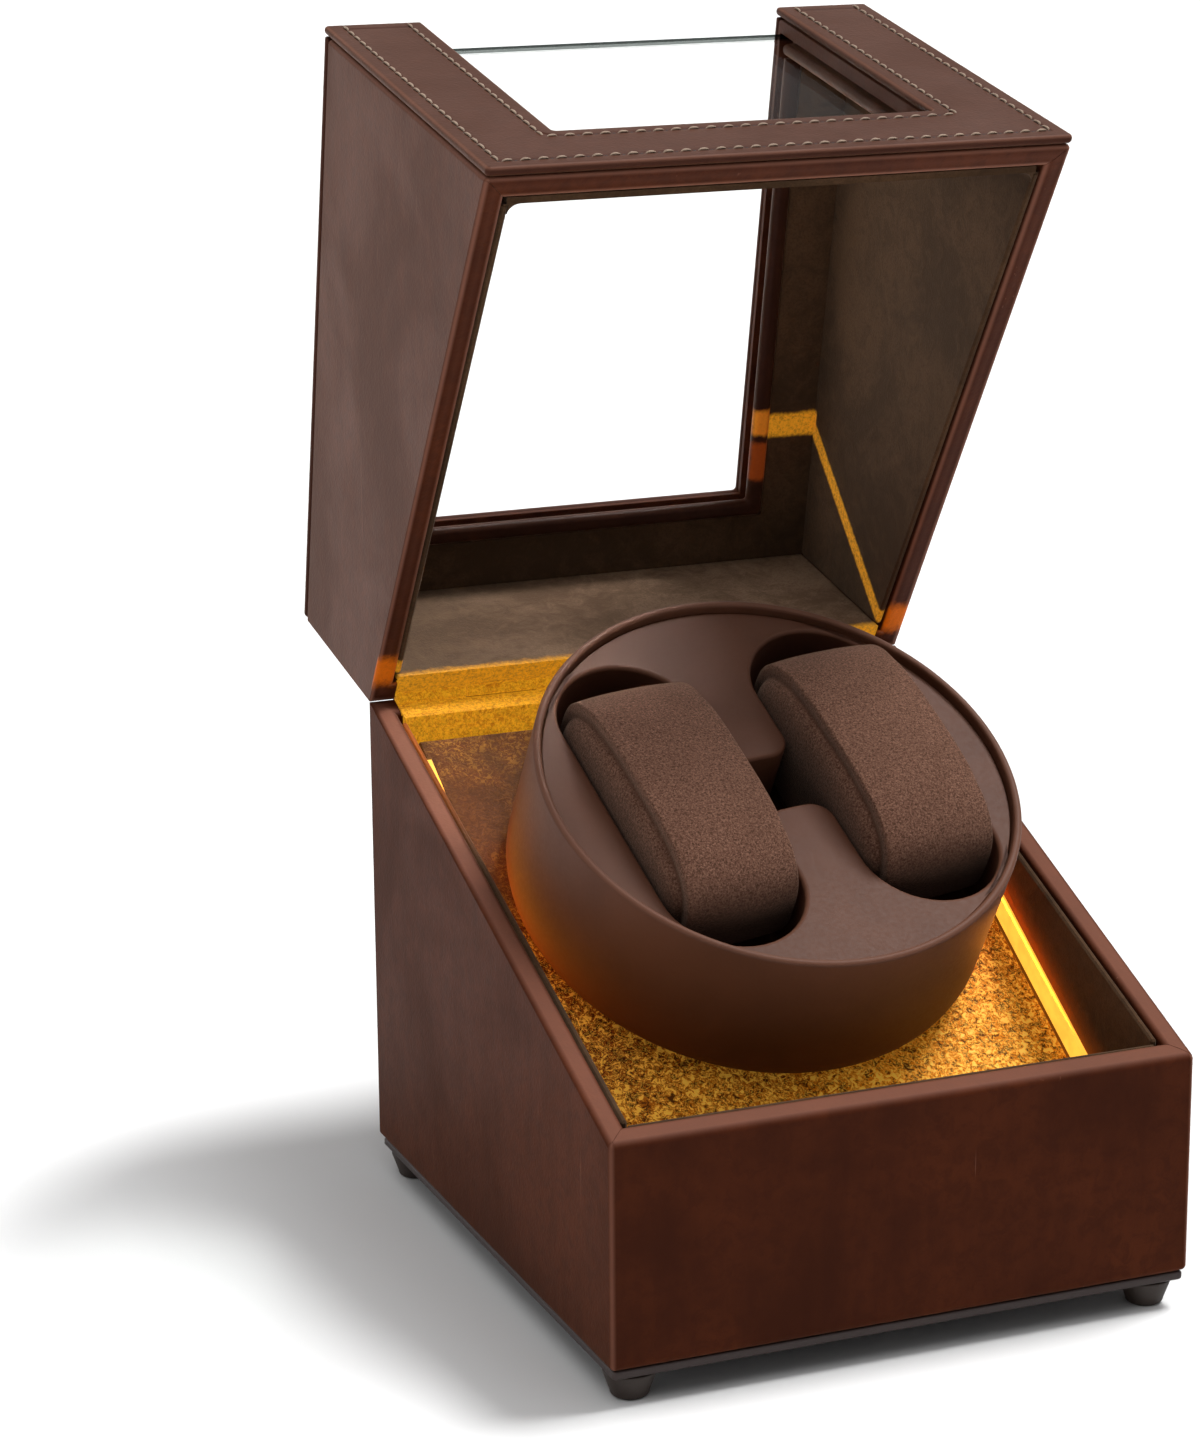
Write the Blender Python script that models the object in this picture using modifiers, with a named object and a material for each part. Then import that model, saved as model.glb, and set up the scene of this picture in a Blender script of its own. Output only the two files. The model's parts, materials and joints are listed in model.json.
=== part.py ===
# Watch winder with its lid open.
# Metres, +Z up, the front faces -Y. The origin is on the ground, below the middle of the open winder.
# The case frame has its zero at mid width, on the front face and on the underside of the bottom board.
# The lid is drawn shut in the case frame and turned about its hinge line.
# The tilt frame has its zero at the middle of the drum's rim and its Z along the drum's axis.

import math

import bmesh
import bpy
from mathutils import Matrix, Vector

# Case. Its width, depth and heights are worked out from the drum, further down.
WALL = 0.0060
PIT_DEPTH = 0.0384
BACK_BAND = 0.0086
LID_RISE = 0.0590
LID_OPEN_ANGLE = math.radians(78.7)
EDGE_RADIUS = 0.0012
EDGE_SEGMENTS = 2

# Clearances
TOUCH = 0.0003
SEAM_GAP = 0.0006
OVERRUN = 0.0020
WELD = 0.000001

# Bottom board and feet
BOARD_THICKNESS = 0.0024
BOARD_INSET = 0.0008
BOARD_EDGE = 0.0006
FOOT_HEIGHT = 0.0073
FOOT_TOP_RADIUS = 0.0068
FOOT_BOTTOM_RADIUS = 0.0050
FOOT_EDGE = 0.0012
FOOT_INSET = 0.0080

# Liners
LINER_THICKNESS = 0.0017
LINER_DROP = 0.0008
LINER_EDGE = 0.0005
FLANGE_THICKNESS = 0.0006
FLANGE_END = 0.0023

# Hinge
HINGE_BARREL_RADIUS = 0.0017
HINGE_PIN_RADIUS = 0.0006
HINGE_LEAF_THICKNESS = 0.0008
HINGE_LEAF_WIDTH = 0.0052
HINGE_KNUCKLES = 7
HINGE_STEPS = 16

# Lid
LID_FRONT_BOARD = 0.0062
LID_TOP_BOARD = 0.0040
FRAME_PAD = 0.0025
FRAME_PAD_EDGE = 0.0010
FRAME_STRIP = 0.0275
GLASS_THICKNESS = 0.0020
GLASS_LAP = 0.0037
MOULDING_WIDTH = 0.0050
MOULDING_DEPTH = 0.0037
MOULDING_EDGE = 0.0012

# Drum. Its radius is worked out from the pockets, further down.
DRUM_TILT = math.radians(31.8)
DRUM_TURN = math.radians(6.0)
DRUM_DEPTH = 0.0470
DRUM_SIDE_GAP = 0.0070
DRUM_FRONT_GAP = 0.0147
DRUM_BACK_GAP = 0.0069
DRUM_LIFT = 0.0020
DRUM_WALL = 0.0023
DRUM_FLOOR = 0.0025
DRUM_CORNER_HEIGHT = 0.0075
DRUM_CORNER_WIDTH = 0.0065
DRUM_STEPS = 64
CORNER_STEPS = 6
LIP_STEPS = 6

# Tray plate with the two pockets, and the two cups below it
TRAY_DROP = 0.0025
TRAY_PLATE = 0.0025
TRAY_LAND = 0.0013
CUP_WALL = 0.0016
CUP_DEPTH = 0.0243
CUP_RIM_GAP = 0.0004
BRIDGE_WIDTH = 0.0192
STRAP_ROOM = 0.0110
NECK_WIDTH = 0.0176
TONGUE_CORNER = 0.0045
POCKET_ARC_STEPS = 16
TONGUE_ARC_STEPS = 4

# Watch pillows
PILLOW_SIDE_GAP = 0.0008
PILLOW_WIDTH = 0.0372
PILLOW_LENGTH = 0.0768
PILLOW_CROWN = 0.0009
PILLOW_SEAM_DEPTH = 0.0006
PILLOW_PROUD = 0.0120
PILLOW_ARCH_POWER = 2.9
PILLOW_AROUND = 24
PILLOW_PANEL_SHARE = 0.55
PILLOW_ACROSS_SHARES = (
    (0.30, 1.0, 0.0),
    (0.76, 0.3, 0.0),
    (0.84, 0.0, 1.0),
    (0.92, 0.0, 0.0),
    (0.985, 0.0, 1.5),
)

# Deck and its light strips
DECK_FRONT_HEIGHT = 0.0197
DECK_THICKNESS = 0.0030
DECK_EDGE = 0.0004
DECK_SIDE_SLOT = 0.0010
DECK_HOLE_RADIUS = 0.0110
LIGHT_WIDTH = 0.0060
LIGHT_THICKNESS = 0.0014
LIGHT_SINK = 0.0005
LIGHT_BACK_SHORT = 0.0120
LIGHT_FRONT_CLEAR = 0.0006
BATTEN_WIDTH = 0.0077
BATTEN_HEIGHT = 0.0080
BATTEN_FRONT_SHORT = 0.0170
BATTEN_BACK_SHORT = 0.0140

# Drive
GEAR_MODULE = 0.0008
GEAR_TEETH = 48
PINION_TEETH = 12
GEAR_THICKNESS = 0.0040
PINION_THICKNESS = 0.0055
GEAR_TIP_SHARE = 0.80
GEAR_ROOT_SHARE = 1.20
TOOTH_WIDTH_SHARES = (0.30, 0.20)
SHAFT_RADIUS = 0.0030
SHAFT_TAIL = 0.0020
HUB_RADIUS = 0.0100
HUB_FLANGE = 0.0020
HUB_BOSS_RADIUS = 0.0060
HUB_SOCKET = 0.0024
BUSH_RADIUS = 0.0057
BUSH_FLANGE_RADIUS = 0.0080
BUSH_FLANGE = 0.0010
BUSH_PROUD = 0.0020
BRACKET_SHEET = 0.0020
BRACKET_SIDE_MARGIN = 0.0042
BRACKET_FRONT_ROOM = 0.0025
BRACKET_BACK_MARGIN = 0.0020
GEAR_BELOW_BUSH = 0.0017
GEAR_ABOVE_BUSH = 0.0030
CLIP_RADIUS = 0.0055
CLIP_THICKNESS = 0.0010
MOTOR_RADIUS = 0.0120
MOTOR_LENGTH = 0.0280
MOTOR_EDGE = 0.0010
MOTOR_SHAFT_RADIUS = 0.0015
MOTOR_SHAFT_HOLE = 0.0040
MOTOR_SOCKET = 0.0040

# Rear controls
PLATE_WIDTH = 0.0640
PLATE_HEIGHT = 0.0200
PLATE_THICKNESS = 0.0024
PLATE_RECESS = 0.0004
PLATE_CORNER = 0.0030
PLATE_CORNER_STEPS = 4
CONTROL_HEIGHT = 0.0240
CONTROL_SPACING = 0.0190
KNOB_RADIUS = 0.0062
KNOB_LENGTH = 0.0070
KNOB_EDGE = 0.0010
KNOB_STEM_RADIUS = 0.0030
KNOB_STEM_LENGTH = 0.0030
KNOB_MARK_WIDTH = 0.0010
KNOB_MARK_DEPTH = 0.0005
BUTTON_RADIUS = 0.0036
BUTTON_PROUD = 0.0018
BUTTON_FLANGE_RADIUS = 0.0050
BUTTON_FLANGE = 0.0010
BUTTON_TRAVEL = 0.0010
BUTTON_EDGE = 0.0006
INLET_FLANGE_RADIUS = 0.0055
INLET_FLANGE = 0.0008
INLET_RADIUS = 0.0042
INLET_BORE_RADIUS = 0.0029
INLET_BORE_DEPTH = 0.0085
INLET_PIN_RADIUS = 0.0010
ENCODER_SIZE = 0.0110
ENCODER_DEPTH = 0.0090
SWITCH_SIZE = 0.0060
CIRCUIT_WIDTH = 0.0600
CIRCUIT_HEIGHT = 0.0260
CIRCUIT_THICKNESS = 0.0016

# Leads inside the case
MOTOR_LEAD_RADIUS = 0.0012
LIGHT_LEAD_RADIUS = 0.0008
LEAD_STEPS = 12
MOTOR_LEAD_SIDE = 0.0080
LIGHT_LEAD_SIDE = 0.0240
LIGHT_LEAD_RUN = 0.0045
LIGHT_LEAD_TURN_SHARE = 1.5
LIGHT_LEAD_DROP_SHARE = 2.0
LEAD_PLUG_RUN = 0.0120

# Steps round turned pieces
ROUND_STEPS = 32
SMALL_STEPS = 20

# Pockets and drum, worked out from the pillows
POCKET_RADIUS = PILLOW_WIDTH / 2 + PILLOW_SIDE_GAP
POCKET_LENGTH = PILLOW_LENGTH + STRAP_ROOM * 2
POCKET_OFFSET = POCKET_RADIUS + BRIDGE_WIDTH / 2
POCKET_REACH = math.hypot(POCKET_OFFSET, POCKET_LENGTH / 2 - POCKET_RADIUS) + POCKET_RADIUS
TRAY_RADIUS = POCKET_REACH + TRAY_LAND
DRUM_RADIUS = TRAY_RADIUS + TOUCH + DRUM_WALL
CUP_TOP = TRAY_DROP + TRAY_PLATE + TOUCH
CUP_BOTTOM = CUP_TOP + CUP_DEPTH
POCKET_FLOOR = CUP_BOTTOM - CUP_WALL

# Case, worked out from the drum
INNER_HALF = DRUM_RADIUS + DRUM_SIDE_GAP + LINER_THICKNESS + TOUCH
HALF_WIDTH = INNER_HALF + WALL
LINER_OUTER = INNER_HALF - TOUCH
LINER_INNER = LINER_OUTER - LINER_THICKNESS
LINER_END = LINER_OUTER - EDGE_RADIUS
FRONT_LINER_OUTER = WALL + TOUCH
FRONT_LINER_INNER = FRONT_LINER_OUTER + LINER_THICKNESS
DRUM_CENTRE_Y = FRONT_LINER_INNER + DRUM_FRONT_GAP + DRUM_RADIUS * math.cos(DRUM_TILT)
DRUM_BACK_REACH = DRUM_RADIUS * math.cos(DRUM_TILT) + DRUM_DEPTH * math.sin(DRUM_TILT)
BACK_LINER_INNER = DRUM_CENTRE_Y + DRUM_BACK_REACH + DRUM_BACK_GAP
BACK_LINER_OUTER = BACK_LINER_INNER + LINER_THICKNESS
CASE_DEPTH = BACK_LINER_OUTER + TOUCH + WALL

# Deck and heights, worked out from the drum
DECK_DEPTH = DRUM_DEPTH + DRUM_LIFT
DECK_UNDERSIDE = DECK_DEPTH + DECK_THICKNESS
DECK_FRONT_RUN = (DRUM_CENTRE_Y - FRONT_LINER_INNER - TOUCH) * math.sin(DRUM_TILT)
DRUM_CENTRE_Z = DECK_FRONT_HEIGHT + (DECK_UNDERSIDE + DECK_FRONT_RUN) / math.cos(DRUM_TILT)
DECK_RISE = (BACK_LINER_INNER - FRONT_LINER_INNER) * math.tan(DRUM_TILT)
FRONT_WALL_HEIGHT = DECK_FRONT_HEIGHT + DECK_THICKNESS / math.cos(DRUM_TILT) + PIT_DEPTH
BACK_WALL_HEIGHT = FRONT_WALL_HEIGHT - PIT_DEPTH + DECK_RISE + BACK_BAND
CLOSED_HEIGHT = BACK_WALL_HEIGHT + LID_RISE
SEAM_SLOPE = math.atan2(BACK_WALL_HEIGHT - FRONT_WALL_HEIGHT, CASE_DEPTH)
OPEN_DEPTH = (
    CASE_DEPTH
    + (LID_RISE - EDGE_RADIUS) * math.sin(LID_OPEN_ANGLE)
    - EDGE_RADIUS * math.cos(LID_OPEN_ANGLE)
    + EDGE_RADIUS
)
SHELL_BOTTOM = BOARD_THICKNESS + TOUCH

# Lid
LID_BOARD_FRONT = FRAME_PAD + TOUCH
LID_FRONT_INNER = LID_BOARD_FRONT + LID_FRONT_BOARD
LID_BOARD_TOP = CLOSED_HEIGHT - FRAME_PAD - TOUCH
LID_TOP_INNER = LID_BOARD_TOP - LID_TOP_BOARD
WINDOW_HALF = HALF_WIDTH - FRAME_STRIP
WINDOW_FRONT_SILL = FRONT_WALL_HEIGHT + FRAME_STRIP
WINDOW_TOP_SILL = CASE_DEPTH - FRAME_STRIP
REBATE_DEPTH = GLASS_THICKNESS + TOUCH + TOUCH
GLASS_FRONT_INNER = LID_FRONT_INNER - TOUCH
GLASS_FRONT_OUTER = GLASS_FRONT_INNER - GLASS_THICKNESS
GLASS_TOP_INNER = LID_TOP_INNER + TOUCH
GLASS_TOP_OUTER = GLASS_TOP_INNER + GLASS_THICKNESS
TOP_LINER_OUTER = LID_TOP_INNER - TOUCH
TOP_LINER_INNER = TOP_LINER_OUTER - LINER_THICKNESS
LID_FRONT_LINER_OUTER = LID_FRONT_INNER + TOUCH
LID_FRONT_LINER_INNER = LID_FRONT_LINER_OUTER + LINER_THICKNESS
MOULDING_OUTER = WINDOW_HALF + MOULDING_WIDTH

# Lights and drive
LIGHT_OUTER = LINER_INNER - TOUCH
LIGHT_INNER = LIGHT_OUTER - LIGHT_THICKNESS
DECK_HALF = LIGHT_INNER - DECK_SIDE_SLOT
BUSH_BORE = SHAFT_RADIUS + TOUCH
PINION_OFFSET = GEAR_MODULE * (GEAR_TEETH + PINION_TEETH) / 2
GEAR_TIP_RADIUS = GEAR_MODULE * (GEAR_TEETH / 2 + GEAR_TIP_SHARE)
BRACKET_HALF = GEAR_TIP_RADIUS + BRACKET_SIDE_MARGIN
BRACKET_FRONT = GEAR_TIP_RADIUS + BRACKET_FRONT_ROOM + BRACKET_SHEET
BRACKET_BACK = PINION_OFFSET + MOTOR_RADIUS + BRACKET_BACK_MARGIN
BRACKET_TOP = DECK_UNDERSIDE + TOUCH
BUSH_TOP = BRACKET_TOP - TOUCH - BUSH_FLANGE
GEAR_TOP = BRACKET_TOP + BRACKET_SHEET + BUSH_PROUD + GEAR_BELOW_BUSH
LOWER_BUSH_TOP = GEAR_TOP + GEAR_THICKNESS + GEAR_ABOVE_BUSH
BRACKET_LOWER = LOWER_BUSH_TOP + BUSH_FLANGE + TOUCH
BRACKET_BOTTOM = BRACKET_LOWER + BRACKET_SHEET
HUB_TOP = DRUM_DEPTH + TOUCH
HUB_BOTTOM = BUSH_TOP - TOUCH
MOTOR_TOP = BRACKET_BOTTOM + TOUCH

# Rear controls
PLATE_OUTER_Y = CASE_DEPTH - PLATE_RECESS
PLATE_INNER_Y = PLATE_OUTER_Y - PLATE_THICKNESS
CIRCUIT_Y = PLATE_INNER_Y - TOUCH - ENCODER_DEPTH - TOUCH

PALETTE = {
    "case_leather": ((0.088, 0.040, 0.027), 0.42, 0.0),
    "frame_leather": ((0.105, 0.048, 0.034), 0.40, 0.0),
    "moulding_leather": ((0.075, 0.030, 0.019), 0.38, 0.0),
    "suede_lining": ((0.085, 0.050, 0.030), 0.95, 0.0),
    "suede_deck": ((0.230, 0.115, 0.030), 0.75, 0.0),
    "board": ((0.060, 0.035, 0.024), 0.60, 0.0),
    "rubber": ((0.020, 0.015, 0.010), 0.70, 0.0),
    "glass": ((0.900, 0.930, 0.920), 0.03, 0.0),
    "drum_plastic": ((0.085, 0.043, 0.030), 0.50, 0.0),
    "pillow_suede": ((0.120, 0.064, 0.042), 0.95, 0.0),
    "steel": ((0.550, 0.530, 0.500), 0.30, 1.0),
    "bronze": ((0.450, 0.280, 0.130), 0.35, 1.0),
    "gear_plastic": ((0.700, 0.680, 0.620), 0.45, 0.0),
    "motor_steel": ((0.420, 0.420, 0.420), 0.35, 1.0),
    "light_diffuser": ((1.000, 0.640, 0.130), 0.50, 0.0),
    "circuit": ((0.030, 0.140, 0.060), 0.50, 0.0),
    "black_plastic": ((0.022, 0.020, 0.019), 0.45, 0.0),
    "wood": ((0.420, 0.290, 0.170), 0.70, 0.0),
    "cable": ((0.020, 0.020, 0.022), 0.55, 0.0),
}


# Scene, collections, frames and finishes

def empty_scene():
    """Take every object out of the scene."""
    for old in list(bpy.data.objects):
        bpy.data.objects.remove(old, do_unlink=True)


def make_collection(name):
    """A collection linked to the scene."""
    made = bpy.data.collections.new(name)
    bpy.context.scene.collection.children.link(made)
    return made


def make_frame(name, location, turn=0, axis="X", parent=None):
    """An empty that carries pieces, turned about one of its axes."""
    frame = bpy.data.objects.new(name, None)
    PARTS.objects.link(frame)
    frame.parent = parent
    frame.location = location
    frame.rotation_euler["XYZ".index(axis)] = turn
    frame.empty_display_size = WALL
    return frame


def make_finish(name, look):
    """A Principled material for one piece."""
    colour, roughness, metallic = PALETTE[look]
    finish = bpy.data.materials.new(name + "_finish")
    finish.use_nodes = True
    shader = finish.node_tree.nodes["Principled BSDF"]
    shader.inputs["Base Color"].default_value = (*colour, 1)
    shader.inputs["Roughness"].default_value = roughness
    shader.inputs["Metallic"].default_value = metallic
    if look == "glass":
        shader.inputs["Transmission Weight"].default_value = 1
    if look == "light_diffuser":
        shader.inputs["Emission Color"].default_value = (*colour, 1)
        shader.inputs["Emission Strength"].default_value = 1
    finish.diffuse_color = (*colour, 1)
    return finish


def add_piece(name, mesh, look, frame, smooth=False):
    """Put a mesh in the winder as a piece with its own finish. A look of None makes a cutter."""
    piece = bpy.data.objects.new(name, mesh)
    if look is None:
        CUTTERS.objects.link(piece)
        piece.hide_render = True
        piece.display_type = "WIRE"
    else:
        PARTS.objects.link(piece)
        mesh.materials.append(make_finish(name, look))
    piece.parent = frame
    if smooth:
        mesh.shade_smooth()
        mesh.set_sharp_from_angle(angle=math.radians(35))
    return piece


# Shapes

def tidy_mesh(name, build):
    """A mesh from a bmesh whose double points are merged and whose flat faces are joined."""
    bmesh.ops.remove_doubles(build, verts=build.verts[:], dist=WELD)
    bmesh.ops.dissolve_limit(
        build,
        angle_limit=math.radians(0.2),
        verts=build.verts[:],
        edges=build.edges[:],
    )
    bmesh.ops.recalc_face_normals(build, faces=build.faces[:])
    mesh = bpy.data.meshes.new(name)
    build.to_mesh(mesh)
    build.free()
    return mesh


def outline_mesh(name, outlines, low, high, facing="Z"):
    """Flat outlines filled and given a thickness from low to high along Z, X or Y.

    Facing X reads an outline as (y, z), facing Y as (x, z) and facing Z as (x, y).
    """
    curve = bpy.data.curves.new(name, "CURVE")
    curve.dimensions = "2D"
    curve.fill_mode = "BOTH"
    curve.extrude = (high - low) / 2
    for outline in outlines:
        spline = curve.splines.new("POLY")
        spline.points.add(len(outline) - 1)
        for point, place in zip(spline.points, outline):
            point.co = (place[0], place[1], 0, 1)
        spline.use_cyclic_u = True
    flat = bpy.data.objects.new(name, curve)
    bpy.context.scene.collection.objects.link(flat)
    graph = bpy.context.evaluated_depsgraph_get()
    filled = bpy.data.meshes.new_from_object(flat.evaluated_get(graph))
    bpy.data.objects.remove(flat)
    bpy.data.curves.remove(curve)
    build = bmesh.new()
    build.from_mesh(filled)
    bpy.data.meshes.remove(filled)
    middle = (low + high) / 2
    turns = {
        "Z": Matrix.Identity(4),
        "X": Matrix(((0, 0, 1, 0), (1, 0, 0, 0), (0, 1, 0, 0), (0, 0, 0, 1))),
        "Y": Matrix(((1, 0, 0, 0), (0, 0, -1, 0), (0, 1, 0, 0), (0, 0, 0, 1))),
    }
    shifts = {"Z": (0, 0, middle), "X": (middle, 0, 0), "Y": (0, middle, 0)}
    bmesh.ops.transform(
        build,
        matrix=Matrix.Translation(shifts[facing]) @ turns[facing],
        verts=build.verts[:],
    )
    return tidy_mesh(name, build)


def box_mesh(name, low, high):
    """A box between two corners."""
    build = bmesh.new()
    bmesh.ops.create_cube(build, size=1)
    size = Vector(high) - Vector(low)
    middle = (Vector(high) + Vector(low)) / 2
    bmesh.ops.scale(build, vec=size, verts=build.verts[:])
    bmesh.ops.translate(build, vec=middle, verts=build.verts[:])
    mesh = bpy.data.meshes.new(name)
    build.to_mesh(mesh)
    build.free()
    return mesh


def rod_mesh(name, radius, low, high, axis="Z", centre=(0, 0), steps=SMALL_STEPS):
    """A cylinder from low to high along X, Y or Z, with its middle at centre in the other two."""
    build = bmesh.new()
    bmesh.ops.create_cone(
        build,
        cap_ends=True,
        segments=steps,
        radius1=radius,
        radius2=radius,
        depth=high - low,
    )
    middle = (low + high) / 2
    places = {
        "Z": Matrix.Translation((centre[0], centre[1], middle)),
        "X": Matrix.Translation((middle, centre[0], centre[1]))
        @ Matrix.Rotation(math.radians(90), 4, "Y"),
        "Y": Matrix.Translation((centre[0], middle, centre[1]))
        @ Matrix.Rotation(math.radians(-90), 4, "X"),
    }
    bmesh.ops.transform(build, matrix=places[axis], verts=build.verts[:])
    mesh = bpy.data.meshes.new(name)
    build.to_mesh(mesh)
    build.free()
    return mesh


def turned_piece(name, profile, look, frame, closed=False, steps=SMALL_STEPS):
    """A profile of (radius, height) turned about Z, read down its outer side."""
    points = [(radius, 0, height) for radius, height in profile]
    edges = [(i, i + 1) for i in range(len(points) - 1)]
    if closed:
        edges.append((len(points) - 1, 0))
    mesh = bpy.data.meshes.new(name)
    mesh.from_pydata(points, edges, [])
    piece = add_piece(name, mesh, look, frame)
    turn = piece.modifiers.new("turn", "SCREW")
    turn.axis = "Z"
    turn.steps = steps
    turn.render_steps = steps
    turn.use_merge_vertices = True
    turn.merge_threshold = WELD
    turn.use_smooth_shade = True
    return piece


def arc(centre, radii, start, end, steps):
    """Points of an elliptic arc, with angles in degrees."""
    points = []
    for i in range(steps + 1):
        angle = math.radians(start + (end - start) * i / steps)
        points.append(
            (
                centre[0] + radii[0] * math.cos(angle),
                centre[1] + radii[1] * math.sin(angle),
            )
        )
    return points


def cut(piece, cutter, operation="DIFFERENCE"):
    """A Boolean of one piece with a cutter."""
    step = piece.modifiers.new(cutter.name, "BOOLEAN")
    step.operation = operation
    step.object = cutter
    step.solver = "EXACT"


def round_edges(piece, width, segments=EDGE_SEGMENTS):
    """A Bevel on the edges that turn by more than 30 degrees."""
    step = piece.modifiers.new("rounding", "BEVEL")
    step.width = width
    step.segments = segments
    step.limit_method = "ANGLE"
    step.angle_limit = math.radians(30)
    step.harden_normals = False
    step.use_clamp_overlap = True


def tube_piece(name, route, radius, look, frame):
    """A round lead along a smooth curve through its route's points."""
    curve = bpy.data.curves.new(name, "CURVE")
    curve.dimensions = "3D"
    curve.bevel_depth = radius
    curve.bevel_resolution = 1
    curve.use_fill_caps = True
    spline = curve.splines.new("POLY")
    places = smooth_route(route)
    spline.points.add(len(places) - 1)
    for point, place in zip(spline.points, places):
        point.co = (*place, 1)
    lead = bpy.data.objects.new(name, curve)
    PARTS.objects.link(lead)
    curve.materials.append(make_finish(name, look))
    lead.parent = frame
    return lead


def smooth_route(route):
    """Points of a chain of cubic Bezier curves: an end, two handles, the next end and so on."""
    route = [Vector(point) for point in route]
    places = [route[0]]
    for start, leave, arrive, end in zip(route[::3], route[1::3], route[2::3], route[3::3]):
        for i in range(1, LEAD_STEPS + 1):
            t = i / LEAD_STEPS
            s = 1 - t
            near = start * s * s * s + leave * 3 * s * s * t
            far = arrive * 3 * s * t * t + end * t * t * t
            places.append(near + far)
    return places


# Places in the case and tilt frames

def seam_height(y, normal_gap=0):
    """Height of the sloping seam at a depth, or of a plane beside it."""
    return (
        FRONT_WALL_HEIGHT
        + y * math.tan(SEAM_SLOPE)
        + normal_gap / math.cos(SEAM_SLOPE)
    )


def seam_point(along, above):
    """Case (y, z) of a point that far forward of the hinge line in the seam and above it."""
    return (
        CASE_DEPTH - along * math.cos(SEAM_SLOPE) - above * math.sin(SEAM_SLOPE),
        BACK_WALL_HEIGHT - along * math.sin(SEAM_SLOPE) + above * math.cos(SEAM_SLOPE),
    )


def deck_height(y, depth):
    """Case height, at y, of the plane that lies that far below the drum's rim."""
    slope = math.sin(DRUM_TILT) * (y - DRUM_CENTRE_Y)
    return DRUM_CENTRE_Z + (slope - depth) / math.cos(DRUM_TILT)


def deck_run(y, depth):
    """Tilt frame Y of the point at case depth y in that plane."""
    ahead = y - DRUM_CENTRE_Y - depth * math.sin(DRUM_TILT)
    return ahead / math.cos(DRUM_TILT)


def tilt_to_case(x, run, depth):
    """Case place of a tilt frame point that lies below the rim."""
    return (
        x,
        DRUM_CENTRE_Y + run * math.cos(DRUM_TILT) + depth * math.sin(DRUM_TILT),
        DRUM_CENTRE_Z + run * math.sin(DRUM_TILT) - depth * math.cos(DRUM_TILT),
    )


def u_outline(outer_half, low, high, inner_half, sill):
    """A U that is open at its high end."""
    return [
        (-outer_half, low),
        (outer_half, low),
        (outer_half, high),
        (inner_half, high),
        (inner_half, sill),
        (-inner_half, sill),
        (-inner_half, high),
        (-outer_half, high),
    ]


def rounded_rectangle(width, height, radius, steps, centre_z):
    """Outline of a rectangle with round corners."""
    points = []
    corners = ((1, -1, -90), (1, 1, 0), (-1, 1, 90), (-1, -1, 180))
    for side, level, start in corners:
        middle = (side * (width / 2 - radius), centre_z + level * (height / 2 - radius))
        points += arc(middle, (radius, radius), start, start + 90, steps)
    return points


# Base

def build_base(case):
    """Leather-covered walls, bottom board, feet and the suede boards inside."""
    outline = [
        (0, SHELL_BOTTOM),
        (CASE_DEPTH, SHELL_BOTTOM),
        (CASE_DEPTH, seam_height(CASE_DEPTH, -SEAM_GAP / 2)),
        (0, seam_height(0, -SEAM_GAP / 2)),
    ]
    mesh = outline_mesh("base_shell", [outline], -HALF_WIDTH, HALF_WIDTH, "X")
    shell = add_piece("base_shell", mesh, "case_leather", case, smooth=True)
    hollow = box_mesh(
        "base_hollow",
        (-INNER_HALF, WALL, SHELL_BOTTOM - OVERRUN),
        (INNER_HALF, CASE_DEPTH - WALL, CLOSED_HEIGHT),
    )
    cut(shell, add_piece("base_hollow", hollow, None, case))
    round_edges(shell, EDGE_RADIUS)
    opening = rounded_rectangle(
        PLATE_WIDTH + TOUCH * 2,
        PLATE_HEIGHT + TOUCH * 2,
        PLATE_CORNER,
        PLATE_CORNER_STEPS,
        CONTROL_HEIGHT,
    )
    mesh = outline_mesh(
        "control_opening",
        [opening],
        CASE_DEPTH - WALL - OVERRUN,
        CASE_DEPTH + OVERRUN,
        "Y",
    )
    cut(shell, add_piece("control_opening", mesh, None, case))
    cut(shell, rim_cutter("base", case, -1))

    mesh = box_mesh(
        "bottom_board",
        (BOARD_INSET - HALF_WIDTH, BOARD_INSET, 0),
        (HALF_WIDTH - BOARD_INSET, CASE_DEPTH - BOARD_INSET, BOARD_THICKNESS),
    )
    round_edges(add_piece("bottom_board", mesh, "board", case, smooth=True), BOARD_EDGE)

    for end, y in (("front", FOOT_INSET), ("back", CASE_DEPTH - FOOT_INSET)):
        for side, sign in (("left", -1), ("right", 1)):
            place = (sign * (HALF_WIDTH - FOOT_INSET), y, 0)
            build_foot(f"foot_{end}_{side}", make_frame(f"foot_{end}_{side}_seat", place, parent=case))

    build_base_liners(case)


def build_foot(name, frame):
    """A tapered rubber foot with a rounded tread."""
    tread = FOOT_BOTTOM_RADIUS - FOOT_EDGE
    profile = [(0, -TOUCH), (FOOT_TOP_RADIUS, -TOUCH)]
    profile += arc(
        (tread, FOOT_EDGE - FOOT_HEIGHT), (FOOT_EDGE, FOOT_EDGE), 0, -90, EDGE_SEGMENTS + 1
    )
    profile.append((0, -FOOT_HEIGHT))
    turned_piece(name, profile, "rubber", frame)


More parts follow.
